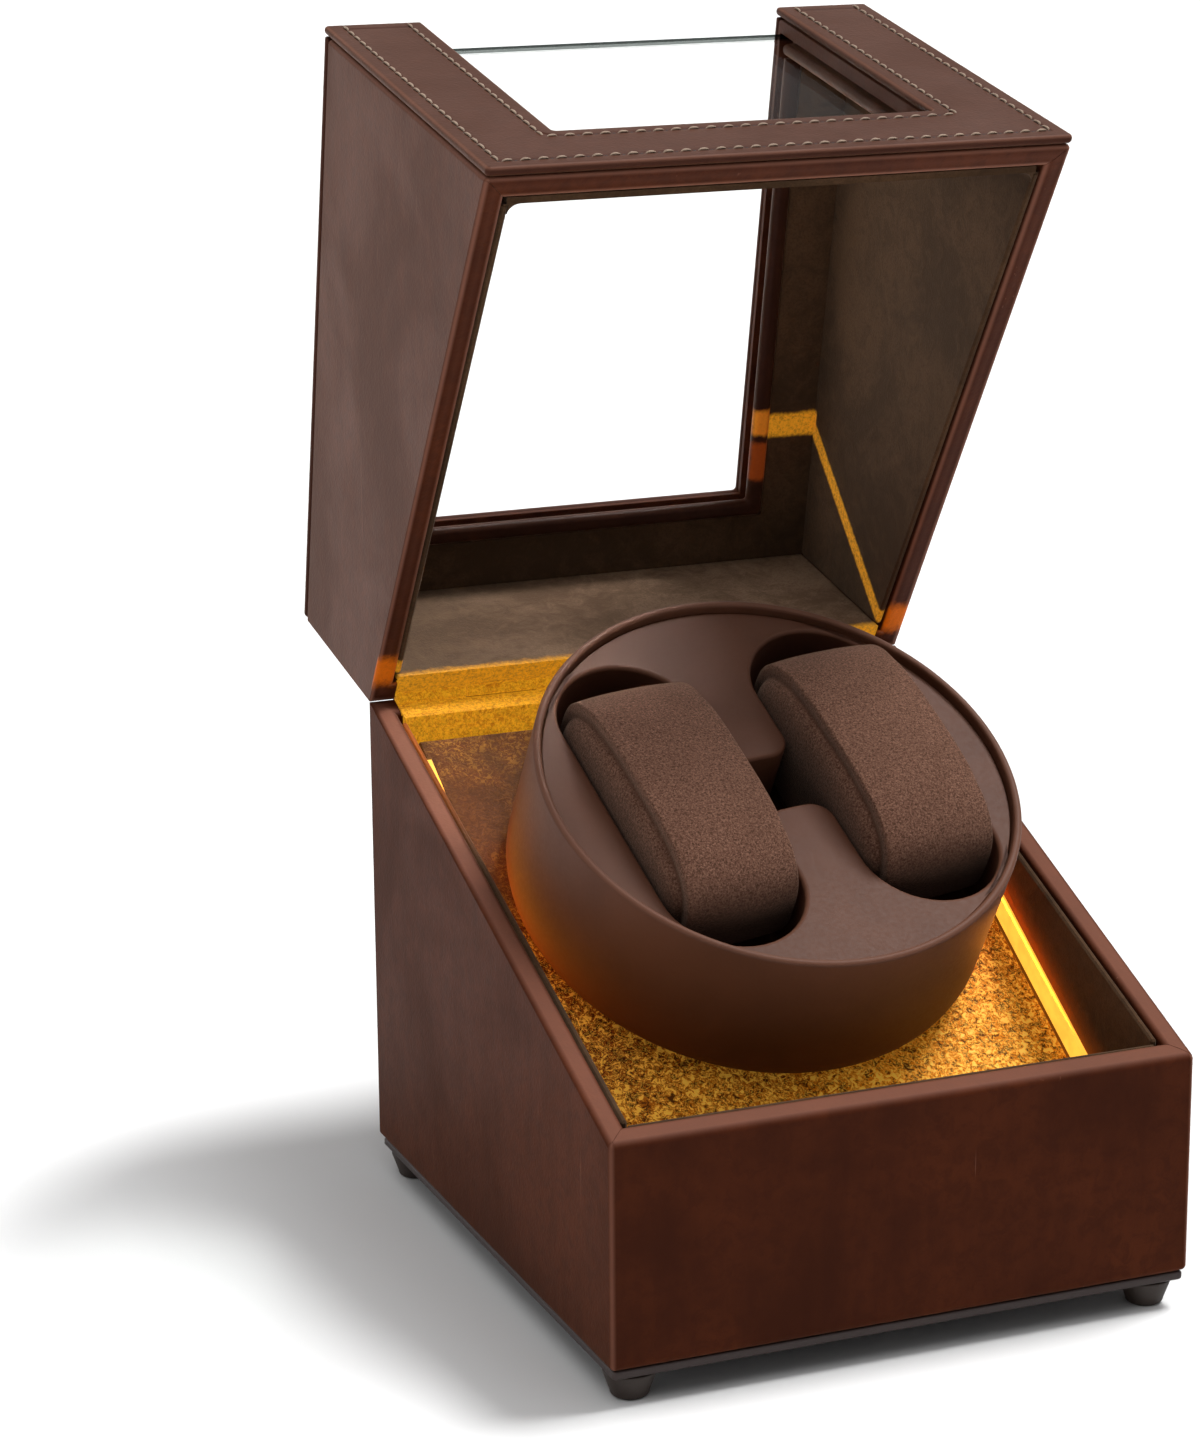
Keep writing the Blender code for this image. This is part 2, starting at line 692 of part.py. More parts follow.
def build_base_liners(case):
    """Suede-covered boards above the deck, one on each wall. The back one turns over the rim."""
    top_gap = -SEAM_GAP / 2 - LINER_DROP
    front = FRONT_LINER_INNER + TOUCH
    back = BACK_LINER_INNER - TOUCH
    outline = [
        (front, deck_height(front, DECK_UNDERSIDE)),
        (back, deck_height(back, DECK_UNDERSIDE)),
        (back, seam_height(back, top_gap)),
        (front, seam_height(front, top_gap)),
    ]
    for name, sign in (("base_liner_left", -1), ("base_liner_right", 1)):
        low, high = sorted((sign * LINER_INNER, sign * LINER_OUTER))
        mesh = outline_mesh(name, [outline], low, high, "X")
        round_edges(add_piece(name, mesh, "suede_lining", case), LINER_EDGE, 1)

    front_bottom = deck_height(FRONT_LINER_OUTER, DECK_UNDERSIDE)
    mesh = box_mesh(
        "base_liner_front",
        (-LINER_END, FRONT_LINER_OUTER, front_bottom),
        (LINER_END, FRONT_LINER_INNER, seam_height(FRONT_LINER_OUTER, top_gap)),
    )
    round_edges(add_piece("base_liner_front", mesh, "suede_lining", case), LINER_EDGE, 1)

    level = -SEAM_GAP / 2
    bottom = deck_height(BACK_LINER_INNER, DECK_UNDERSIDE)
    outline = [
        (BACK_LINER_INNER, bottom),
        (BACK_LINER_OUTER, bottom),
        (BACK_LINER_OUTER, seam_height(BACK_LINER_OUTER, level - FLANGE_THICKNESS)),
        seam_point(FLANGE_END, level - FLANGE_THICKNESS),
        seam_point(FLANGE_END, level),
        (BACK_LINER_INNER, seam_height(BACK_LINER_INNER, level)),
    ]
    mesh = outline_mesh("base_liner_back", [outline], -LINER_END, LINER_END, "X")
    add_piece("base_liner_back", mesh, "suede_lining", case)


def rim_cutter(name, frame, side):
    """Lowers a back wall's rim for the hinge's barrel, its leaf and the liner that covers them.

    A side of -1 is the base and 1 is the lid.
    """
    radius = HINGE_BARREL_RADIUS + TOUCH
    depth = leaf_far() + TOUCH
    inner = WALL / math.cos(SEAM_SLOPE) + OVERRUN
    outline = [(inner, -depth), (inner, radius)]
    outline += arc((0, 0), (radius, radius), 90, 270, POCKET_ARC_STEPS)
    outline.append((0, -depth))
    outline = [seam_point(along, -side * above) for along, above in outline]
    half = LINER_END + TOUCH
    mesh = outline_mesh(f"{name}_rim_cutter", [outline], -half, half, "X")
    return add_piece(f"{name}_rim_cutter", mesh, None, frame)


def leaf_near():
    """Distance from the seam's middle to a hinge leaf's face."""
    return SEAM_GAP / 2 + FLANGE_THICKNESS + TOUCH


def leaf_far():
    """Distance from the seam's middle to a hinge leaf's back."""
    return leaf_near() + HINGE_LEAF_THICKNESS


# Hinge

def build_hinge(case, lid):
    """A long hinge of two leaves and a pin, hidden under the back liners."""
    build_leaf("hinge_lower", case, (0, 0, 0), -1)
    build_leaf("hinge_upper", lid, (0, -CASE_DEPTH, -BACK_WALL_HEIGHT), 1)
    place = (CASE_DEPTH, BACK_WALL_HEIGHT)
    mesh = rod_mesh("hinge_pin", HINGE_PIN_RADIUS, -LINER_END, LINER_END, "X", place, HINGE_STEPS)
    add_piece("hinge_pin", mesh, "steel", case, smooth=True)


def build_leaf(name, frame, shift, side):
    """A hinge leaf with every second knuckle, the outer ones on the base."""
    share = LINER_END * 2 / HINGE_KNUCKLES
    near = side * leaf_near()
    far = side * leaf_far()
    outline = [
        seam_point(TOUCH, near),
        seam_point(HINGE_LEAF_WIDTH, near),
        seam_point(HINGE_LEAF_WIDTH, far),
        seam_point(TOUCH, far),
    ]
    mesh = outline_mesh(name, [outline], -LINER_END, LINER_END, "X")
    leaf = add_piece(name, mesh, "steel", frame, smooth=True)
    place = (CASE_DEPTH, BACK_WALL_HEIGHT)
    own_start = 0 if side < 0 else 1
    for i in range(HINGE_KNUCKLES):
        own = i % 2 == own_start
        start = i * share - LINER_END
        radius = HINGE_BARREL_RADIUS if own else HINGE_BARREL_RADIUS + TOUCH
        reach = 0 if own else TOUCH
        rod = rod_mesh(
            f"{name}_knuckle_{i}", radius, start - reach, start + share + reach, "X", place, HINGE_STEPS
        )
        rod.transform(Matrix.Translation(shift))
        cutter = add_piece(f"{name}_knuckle_{i}", rod, None, frame)
        cut(leaf, cutter, "UNION" if own else "DIFFERENCE")
    bore = rod_mesh(
        name + "_bore",
        HINGE_PIN_RADIUS + TOUCH,
        -LINER_END - OVERRUN,
        LINER_END + OVERRUN,
        "X",
        place,
        HINGE_STEPS,
    )
    bore.transform(Matrix.Translation(shift))
    cut(leaf, add_piece(name + "_bore", bore, None, frame))
    mesh.transform(Matrix.Translation(shift))


# Lid, drawn shut

def lid_piece(name, mesh, look, lid, smooth=False):
    """A lid piece drawn in the case frame and moved to the hinge's frame."""
    mesh.transform(Matrix.Translation((0, -CASE_DEPTH, -BACK_WALL_HEIGHT)))
    return add_piece(name, mesh, look, lid, smooth)


def build_lid(lid, shut):
    """Leather-covered lid, stitched frames, panes, beads and suede boards."""
    build_lid_shell(lid, shut)
    build_lid_frames(lid)
    build_lid_glass(lid)
    build_lid_liners(lid)


def build_lid_shell(lid, shut):
    """The lid's walls, with the window through its front and top."""
    level = SEAM_GAP / 2
    outline = [
        (LID_BOARD_FRONT, seam_height(LID_BOARD_FRONT, level)),
        (CASE_DEPTH, seam_height(CASE_DEPTH, level)),
        (CASE_DEPTH, LID_BOARD_TOP),
        (LID_BOARD_FRONT, LID_BOARD_TOP),
    ]
    mesh = outline_mesh("lid_shell", [outline], -HALF_WIDTH, HALF_WIDTH, "X")
    shell = lid_piece("lid_shell", mesh, "case_leather", lid, smooth=True)
    hollow = box_mesh(
        "lid_hollow",
        (-INNER_HALF, LID_FRONT_INNER, 0),
        (INNER_HALF, CASE_DEPTH - WALL, LID_TOP_INNER),
    )
    cut(shell, lid_piece("lid_hollow", hollow, None, lid))
    cut(shell, window_cutter("lid_window", lid, 0, LID_FRONT_INNER, 0))
    round_edges(shell, EDGE_RADIUS)
    lap = GLASS_LAP + TOUCH
    cut(shell, window_cutter("lid_rebate", lid, lap, LID_FRONT_INNER, REBATE_DEPTH))
    cut(shell, rim_cutter("lid", shut, 1))


def window_cutter(name, lid, lap, inner, depth):
    """An L-shaped bar that opens the lid's front and top.

    With no depth it goes right through. With one it only cuts that deep from inside.
    """
    low_sill = WINDOW_FRONT_SILL - lap
    back_sill = WINDOW_TOP_SILL + lap
    outer = inner - depth if depth else -OVERRUN
    above = LID_TOP_INNER + depth if depth else CLOSED_HEIGHT + OVERRUN
    outline = [
        (outer, low_sill),
        (inner + OVERRUN, low_sill),
        (inner + OVERRUN, LID_TOP_INNER - OVERRUN),
        (back_sill, LID_TOP_INNER - OVERRUN),
        (back_sill, above),
        (outer, above),
    ]
    half = WINDOW_HALF + lap
    mesh = outline_mesh(name, [outline], -half, half, "X")
    return lid_piece(name, mesh, None, lid)


def build_lid_frames(lid):
    """The two stitched U frames, on the lid's front and top."""
    sill = seam_height(FRAME_PAD, SEAM_GAP / 2)
    outline = u_outline(HALF_WIDTH, sill, CLOSED_HEIGHT, WINDOW_HALF, WINDOW_FRONT_SILL)
    mesh = outline_mesh("lid_front_frame", [outline], 0, FRAME_PAD, "Y")
    round_edges(lid_piece("lid_front_frame", mesh, "frame_leather", lid, smooth=True), FRAME_PAD_EDGE)
    outline = u_outline(HALF_WIDTH, -CASE_DEPTH, -LID_BOARD_FRONT, WINDOW_HALF, -WINDOW_TOP_SILL)
    outline = [(x, -y) for x, y in outline]
    top = CLOSED_HEIGHT - FRAME_PAD
    mesh = outline_mesh("lid_top_frame", [outline], top, CLOSED_HEIGHT, "Z")
    round_edges(lid_piece("lid_top_frame", mesh, "frame_leather", lid, smooth=True), FRAME_PAD_EDGE)


def build_lid_glass(lid):
    """Two panes in the rebate, and the beads that hold them."""
    half = WINDOW_HALF + GLASS_LAP
    mesh = box_mesh(
        "lid_front_glass",
        (-half, GLASS_FRONT_OUTER, WINDOW_FRONT_SILL - GLASS_LAP),
        (half, GLASS_FRONT_INNER, GLASS_TOP_OUTER),
    )
    lid_piece("lid_front_glass", mesh, "glass", lid)
    mesh = box_mesh(
        "lid_top_glass",
        (-half, GLASS_FRONT_INNER + TOUCH, GLASS_TOP_INNER),
        (half, WINDOW_TOP_SILL + GLASS_LAP, GLASS_TOP_OUTER),
    )
    lid_piece("lid_top_glass", mesh, "glass", lid)

    near = GLASS_FRONT_INNER + TOUCH
    high = GLASS_TOP_INNER - TOUCH
    outline = u_outline(
        MOULDING_OUTER,
        WINDOW_FRONT_SILL - MOULDING_WIDTH,
        high,
        WINDOW_HALF,
        WINDOW_FRONT_SILL,
    )
    mesh = outline_mesh("lid_front_moulding", [outline], near, near + MOULDING_DEPTH, "Y")
    bead = lid_piece("lid_front_moulding", mesh, "moulding_leather", lid, smooth=True)
    round_edges(bead, MOULDING_EDGE)
    outline = u_outline(
        MOULDING_OUTER,
        -WINDOW_TOP_SILL - MOULDING_WIDTH,
        -near - MOULDING_DEPTH - TOUCH,
        WINDOW_HALF,
        -WINDOW_TOP_SILL,
    )
    outline = [(x, -y) for x, y in outline]
    mesh = outline_mesh("lid_top_moulding", [outline], high - MOULDING_DEPTH, high, "Z")
    bead = lid_piece("lid_top_moulding", mesh, "moulding_leather", lid, smooth=True)
    round_edges(bead, MOULDING_EDGE)


def build_lid_liners(lid):
    """Suede-covered boards inside the lid."""
    rim_gap = SEAM_GAP / 2 + LINER_DROP
    front = LID_FRONT_LINER_INNER + TOUCH
    back = BACK_LINER_INNER - TOUCH
    side_top = TOP_LINER_INNER - TOUCH
    outline = [
        (front, seam_height(front, rim_gap)),
        (back, seam_height(back, rim_gap)),
        (back, side_top),
        (front, side_top),
    ]
    for name, sign in (("lid_liner_left", -1), ("lid_liner_right", 1)):
        low, high = sorted((sign * LINER_INNER, sign * LINER_OUTER))
        mesh = outline_mesh(name, [outline], low, high, "X")
        round_edges(lid_piece(name, mesh, "suede_lining", lid), LINER_EDGE, 1)

    hole = MOULDING_OUTER + TOUCH
    outline = u_outline(
        LINER_END,
        seam_height(LID_FRONT_LINER_INNER, rim_gap),
        TOP_LINER_INNER - TOUCH,
        hole,
        WINDOW_FRONT_SILL - MOULDING_WIDTH - TOUCH,
    )
    mesh = outline_mesh(
        "lid_liner_front", [outline], LID_FRONT_LINER_OUTER, LID_FRONT_LINER_INNER, "Y"
    )
    lid_piece("lid_liner_front", mesh, "suede_lining", lid)

    outline = u_outline(
        LINER_END,
        -BACK_LINER_INNER + TOUCH,
        -LID_FRONT_LINER_OUTER - EDGE_RADIUS,
        hole,
        -WINDOW_TOP_SILL - MOULDING_WIDTH - TOUCH,
    )
    outline = [(x, -y) for x, y in outline]
    mesh = outline_mesh("lid_liner_top", [outline], TOP_LINER_INNER, TOP_LINER_OUTER, "Z")
    lid_piece("lid_liner_top", mesh, "suede_lining", lid)

    level = SEAM_GAP / 2
    outline = [
        (BACK_LINER_INNER, seam_height(BACK_LINER_INNER, level)),
        seam_point(FLANGE_END, level),
        seam_point(FLANGE_END, level + FLANGE_THICKNESS),
        (BACK_LINER_OUTER, seam_height(BACK_LINER_OUTER, level + FLANGE_THICKNESS)),
        (BACK_LINER_OUTER, TOP_LINER_OUTER - EDGE_RADIUS),
        (BACK_LINER_INNER, TOP_LINER_OUTER - EDGE_RADIUS),
    ]
    mesh = outline_mesh("lid_liner_back", [outline], -LINER_END, LINER_END, "X")
    lid_piece("lid_liner_back", mesh, "suede_lining", lid)


# Deck and lights

def build_deck(tilt):
    """The sloping suede deck, the battens that carry it and the light strips beside it."""
    front = deck_run(FRONT_LINER_INNER + TOUCH, DECK_DEPTH)
    back = deck_run(BACK_LINER_INNER - TOUCH, DECK_UNDERSIDE)
    outline = [(-DECK_HALF, front), (DECK_HALF, front), (DECK_HALF, back), (-DECK_HALF, back)]
    mesh = outline_mesh("deck_panel", [outline], -DECK_UNDERSIDE, -DECK_DEPTH)
    deck = add_piece("deck_panel", mesh, "suede_deck", tilt, smooth=True)
    round_edges(deck, DECK_EDGE, 1)
    hole = rod_mesh(
        "deck_hole", DECK_HOLE_RADIUS, -DECK_UNDERSIDE - OVERRUN, OVERRUN - DECK_DEPTH, steps=ROUND_STEPS
    )
    cut(deck, add_piece("deck_hole", hole, None, tilt))

    light_top = LIGHT_WIDTH - LIGHT_SINK - DECK_DEPTH
    light_bottom = -LIGHT_SINK - DECK_DEPTH
    light_front = deck_run(FRONT_LINER_INNER + LIGHT_FRONT_CLEAR, -light_top)
    light_back = back - LIGHT_BACK_SHORT
    batten_top = -DECK_UNDERSIDE - TOUCH
    for name, sign in (("left", -1), ("right", 1)):
        low, high = sorted((sign * LIGHT_INNER, sign * LIGHT_OUTER))
        mesh = box_mesh(
            f"light_strip_{name}", (low, light_front, light_bottom), (high, light_back, light_top)
        )
        add_piece(f"light_strip_{name}", mesh, "light_diffuser", tilt)
        low, high = sorted((sign * (LINER_OUTER - BATTEN_WIDTH), sign * LINER_OUTER))
        mesh = box_mesh(
            f"deck_batten_{name}",
            (low, front + BATTEN_FRONT_SHORT, batten_top - BATTEN_HEIGHT),
            (high, back - BATTEN_BACK_SHORT, batten_top),
        )
        add_piece(f"deck_batten_{name}", mesh, "wood", tilt)


# Drum

def build_drum(spin):
    """The bowl, the tray plate with its two pockets, and a cup below each pocket."""
    straight = DRUM_DEPTH - DRUM_CORNER_HEIGHT
    lip = DRUM_WALL / 2
    inner = DRUM_RADIUS - DRUM_WALL
    floor = DRUM_DEPTH - DRUM_FLOOR
    corner_width = DRUM_CORNER_WIDTH - DRUM_WALL
    corner_height = floor - straight
    profile = [(0, -floor)]
    profile += arc(
        (inner - corner_width, -straight), (corner_width, corner_height), -90, 0, CORNER_STEPS
    )
    profile += arc((inner + lip, -lip), (lip, lip), 180, 0, LIP_STEPS)
    profile += arc(
        (DRUM_RADIUS - DRUM_CORNER_WIDTH, -straight),
        (DRUM_CORNER_WIDTH, DRUM_CORNER_HEIGHT),
        0,
        -90,
        CORNER_STEPS,
    )
    profile.append((0, -DRUM_DEPTH))
    turned_piece("drum_bowl", profile, "drum_plastic", spin, steps=DRUM_STEPS)

    top, bottom = -TRAY_DROP, -TRAY_DROP - TRAY_PLATE
    mesh = rod_mesh("drum_tray", TRAY_RADIUS, bottom, top, steps=DRUM_STEPS)
    tray = add_piece("drum_tray", mesh, "drum_plastic", spin, smooth=True)
    pocket = outline_mesh("tray_pockets", [pocket_outline(0)], -POCKET_FLOOR, OVERRUN)
    pocket = add_piece("tray_pockets", pocket, None, spin)
    cut(tray, pocket)

    for name, sign in (("tray_cup_left", -1), ("tray_cup_right", 1)):
        mesh = outline_mesh(name, [pocket_outline(CUP_WALL)], -CUP_BOTTOM, -CUP_TOP)
        cup = add_piece(name, mesh, "drum_plastic", spin, smooth=True)
        trim = rod_mesh(
            f"{name}_trim",
            TRAY_RADIUS - CUP_RIM_GAP,
            -CUP_BOTTOM - OVERRUN,
            OVERRUN,
            steps=DRUM_STEPS,
        )
        cut(cup, add_piece(f"{name}_trim", trim, None, spin), "INTERSECT")
        cut(cup, pocket)
        low, high = sorted((sign * TOUCH / 2, -sign * DRUM_RADIUS))
        half = box_mesh(
            f"{name}_half",
            (low, -DRUM_RADIUS, -CUP_BOTTOM - OVERRUN),
            (high, DRUM_RADIUS, OVERRUN),
        )
        cut(cup, add_piece(f"{name}_half", half, None, spin))


def pocket_outline(margin):
    """Two long pockets with round ends, joined by a neck between two tongues, grown by a margin."""
    radius = POCKET_RADIUS + margin
    straight = POCKET_LENGTH / 2 - POCKET_RADIUS
    inner = POCKET_OFFSET - radius
    neck = NECK_WIDTH / 2 + margin
    corner = TONGUE_CORNER - margin
    centre = inner - corner
    turn = neck + corner
    small = (corner, corner)
    large = (radius, radius)
    points = arc((POCKET_OFFSET, straight), large, 180, 0, POCKET_ARC_STEPS)
    points += arc((POCKET_OFFSET, -straight), large, 0, -180, POCKET_ARC_STEPS)
    points += arc((centre, -turn), small, 0, 90, TONGUE_ARC_STEPS)
    points += arc((-centre, -turn), small, 90, 180, TONGUE_ARC_STEPS)
    points += arc((-POCKET_OFFSET, -straight), large, 0, -180, POCKET_ARC_STEPS)
    points += arc((-POCKET_OFFSET, straight), large, 180, 0, POCKET_ARC_STEPS)
    points += arc((-centre, turn), small, 180, 270, TONGUE_ARC_STEPS)
    points += arc((centre, turn), small, 270, 360, TONGUE_ARC_STEPS)
    return points


def build_pillows(spin):
    """Two watch cushions, one in each pocket."""
    for name, side in (("pillow_left", -1), ("pillow_right", 1)):
        build_pillow(name, spin, side)


def build_pillow(name, frame, side):
    """An arched cushion: a crowned band round it, a seam near each edge and drawn-in side panels.

    A coarse cage of rings across the width is smoothed by one subdivision.
    """
    half_width = PILLOW_WIDTH / 2
    top = PILLOW_PROUD
    bottom = TOUCH - POCKET_FLOOR
    middle = (top + bottom) / 2
    height = (top - bottom) / 2
    length = PILLOW_LENGTH / 2
    half_rings = [
        (half_width * share, 1, PILLOW_CROWN * crown_share - PILLOW_SEAM_DEPTH * groove_share)
        for share, crown_share, groove_share in PILLOW_ACROSS_SHARES
    ]
    half_rings.append((half_width, PILLOW_PANEL_SHARE, 0))
    rings = [(-x, size_share, grow) for x, size_share, grow in half_rings[::-1]] + half_rings
    build = bmesh.new()
    loops = []
    for x, size_share, grow in rings:
        loop = []
        for i in range(PILLOW_AROUND):
            angle = math.tau * i / PILLOW_AROUND
            y, z = arch_point(angle)
            reach_y = (length - PILLOW_CROWN + grow) * size_share
            reach_z = (height - PILLOW_CROWN + grow) * size_share
            place = (side * POCKET_OFFSET + x, y * reach_y, middle + z * reach_z)
            loop.append(build.verts.new(place))
        loops.append(loop)
    for near, far in zip(loops, loops[1:]):
        for i in range(PILLOW_AROUND):
            j = (i + 1) % PILLOW_AROUND
            build.faces.new((near[i], near[j], far[j], far[i]))
    for loop in (loops[0], loops[-1]):
        middle_x = sum(v.co.x for v in loop) / PILLOW_AROUND
        hub = build.verts.new((middle_x, 0, middle))
        for i in range(PILLOW_AROUND):
            build.faces.new((loop[i], loop[(i + 1) % PILLOW_AROUND], hub))
    bmesh.ops.recalc_face_normals(build, faces=build.faces[:])
    mesh = bpy.data.meshes.new(name)
    build.to_mesh(mesh)
    build.free()
    pillow = add_piece(name, mesh, "pillow_suede", frame)
    mesh.shade_smooth()
    smooth = pillow.modifiers.new("stuffing", "SUBSURF")
    smooth.levels = 1
    smooth.render_levels = 1


def arch_point(angle):
    """A point of the pillow's arched outline, a superellipse of unit reach."""
    power = 2 / PILLOW_ARCH_POWER
    c = math.cos(angle)
    s = math.sin(angle)
    return (
        math.copysign(abs(c) ** power, c),
        math.copysign(abs(s) ** power, s),
    )


# Drive below the deck

def gear_outline(teeth, phase):
    """A spur gear's outline of straight-sided teeth, with a tooth on the phase angle."""
    pitch_radius = GEAR_MODULE * teeth / 2
    tip = pitch_radius + GEAR_MODULE * GEAR_TIP_SHARE
    root = pitch_radius - GEAR_MODULE * GEAR_ROOT_SHARE
    step = math.tau / teeth
    root_share, tip_share = TOOTH_WIDTH_SHARES
    points = []
    for i in range(teeth):
        middle = phase + i * step
        corners = (
            (root, -root_share),
            (tip, -tip_share / 2),
            (tip, tip_share / 2),
            (root, root_share),
        )
        for radius, offset in corners:
            angle = middle + offset * step
            points.append((radius * math.cos(angle), radius * math.sin(angle)))
    return points


def circle(radius, steps=SMALL_STEPS):
    """Points round a circle."""
    return [
        (radius * math.cos(math.tau * i / steps), radius * math.sin(math.tau * i / steps))
        for i in range(steps)
    ]


def build_drive(tilt, pinion_seat):
    """Bracket, bushes, shaft, hub, gear pair and motor on the drum's axis."""
    profile = [
        (-BRACKET_FRONT, -BRACKET_BOTTOM),
        (BRACKET_BACK, -BRACKET_BOTTOM),
        (BRACKET_BACK, -BRACKET_LOWER),
        (BRACKET_SHEET - BRACKET_FRONT, -BRACKET_LOWER),
        (BRACKET_SHEET - BRACKET_FRONT, -BRACKET_TOP - BRACKET_SHEET),
        (BRACKET_BACK, -BRACKET_TOP - BRACKET_SHEET),
        (BRACKET_BACK, -BRACKET_TOP),
        (-BRACKET_FRONT, -BRACKET_TOP),
    ]
    mesh = outline_mesh("motor_bracket", [profile], -BRACKET_HALF, BRACKET_HALF, "X")
    bracket = add_piece("motor_bracket", mesh, "steel", tilt, smooth=True)
    low, high = -BRACKET_BOTTOM - OVERRUN, OVERRUN - BRACKET_TOP
    hole = rod_mesh("bush_holes", BUSH_RADIUS + TOUCH, low, high, steps=ROUND_STEPS)
    cut(bracket, add_piece("bush_holes", hole, None, tilt))
    hole = rod_mesh(
        "motor_hole", MOTOR_SHAFT_HOLE, low, OVERRUN - BRACKET_LOWER, centre=(0, PINION_OFFSET)
    )
    cut(bracket, add_piece("motor_hole", hole, None, tilt))

    upper = (BUSH_TOP, BRACKET_TOP + BRACKET_SHEET + BUSH_PROUD)
    lower = (LOWER_BUSH_TOP, BRACKET_BOTTOM + TOUCH)
    for name, (top, bottom) in (("bush_upper", upper), ("bush_lower", lower)):
        profile = [
            (BUSH_BORE, -top),
            (BUSH_FLANGE_RADIUS, -top),
            (BUSH_FLANGE_RADIUS, -top - BUSH_FLANGE),
            (BUSH_RADIUS, -top - BUSH_FLANGE),
            (BUSH_RADIUS, -bottom),
            (BUSH_BORE, -bottom),
        ]
        turned_piece(name, profile, "bronze", tilt, closed=True, steps=ROUND_STEPS)

    shaft_top = HUB_BOTTOM - HUB_SOCKET
    clip_top = BRACKET_BOTTOM + TOUCH * 2
    shaft_bottom = clip_top + CLIP_THICKNESS + SHAFT_TAIL
    mesh = rod_mesh("drive_shaft", SHAFT_RADIUS, -shaft_bottom, -shaft_top, steps=ROUND_STEPS)
    add_piece("drive_shaft", mesh, "steel", tilt, smooth=True)

    profile = [
        (0, -HUB_TOP),
        (HUB_RADIUS, -HUB_TOP),
        (HUB_RADIUS, -HUB_TOP - HUB_FLANGE),
        (HUB_BOSS_RADIUS, -HUB_TOP - HUB_FLANGE),
        (HUB_BOSS_RADIUS, -HUB_BOTTOM),
        (BUSH_BORE, -HUB_BOTTOM),
        (BUSH_BORE, TOUCH - shaft_top),
        (0, TOUCH - shaft_top),
    ]
    turned_piece("drum_hub", profile, "gear_plastic", tilt, steps=ROUND_STEPS)

    outline = gear_outline(GEAR_TEETH, math.radians(90))
    bore = circle(BUSH_BORE, ROUND_STEPS)
    mesh = outline_mesh("drum_gear", [outline, bore], -GEAR_TOP - GEAR_THICKNESS, -GEAR_TOP)
    add_piece("drum_gear", mesh, "gear_plastic", tilt)

    profile = [
        (BUSH_BORE, -clip_top),
        (CLIP_RADIUS, -clip_top),
        (CLIP_RADIUS, -clip_top - CLIP_THICKNESS),
        (BUSH_BORE, -clip_top - CLIP_THICKNESS),
    ]
    turned_piece("shaft_clip", profile, "steel", tilt, closed=True, steps=ROUND_STEPS)

    socket = -MOTOR_TOP - MOTOR_SOCKET
    motor_bottom = -MOTOR_TOP - MOTOR_LENGTH
    profile = [
        (0, socket),
        (MOTOR_SHAFT_RADIUS + TOUCH, socket),
        (MOTOR_SHAFT_RADIUS + TOUCH, -MOTOR_TOP),
        (MOTOR_RADIUS - MOTOR_EDGE, -MOTOR_TOP),
        (MOTOR_RADIUS, -MOTOR_TOP - MOTOR_EDGE),
        (MOTOR_RADIUS, motor_bottom + MOTOR_EDGE),
        (MOTOR_RADIUS - MOTOR_EDGE, motor_bottom),
        (0, motor_bottom),
    ]
    turned_piece("gear_motor", profile, "motor_steel", pinion_seat, steps=ROUND_STEPS)

    pinion_top = GEAR_TOP - (PINION_THICKNESS - GEAR_THICKNESS) / 2
    half_step = math.pi / PINION_TEETH
    outline = gear_outline(PINION_TEETH, math.radians(-90) + half_step)
    mesh = outline_mesh("motor_pinion", [outline], -pinion_top - PINION_THICKNESS, -pinion_top)
    pinion = add_piece("motor_pinion", mesh, "gear_plastic", pinion_seat)
    stem = rod_mesh(
        "pinion_stem",
        MOTOR_SHAFT_RADIUS,
        socket + TOUCH,
        -pinion_top - PINION_THICKNESS / 2,
    )
    cut(pinion, add_piece("pinion_stem", stem, None, pinion_seat), "UNION")


# Rear controls

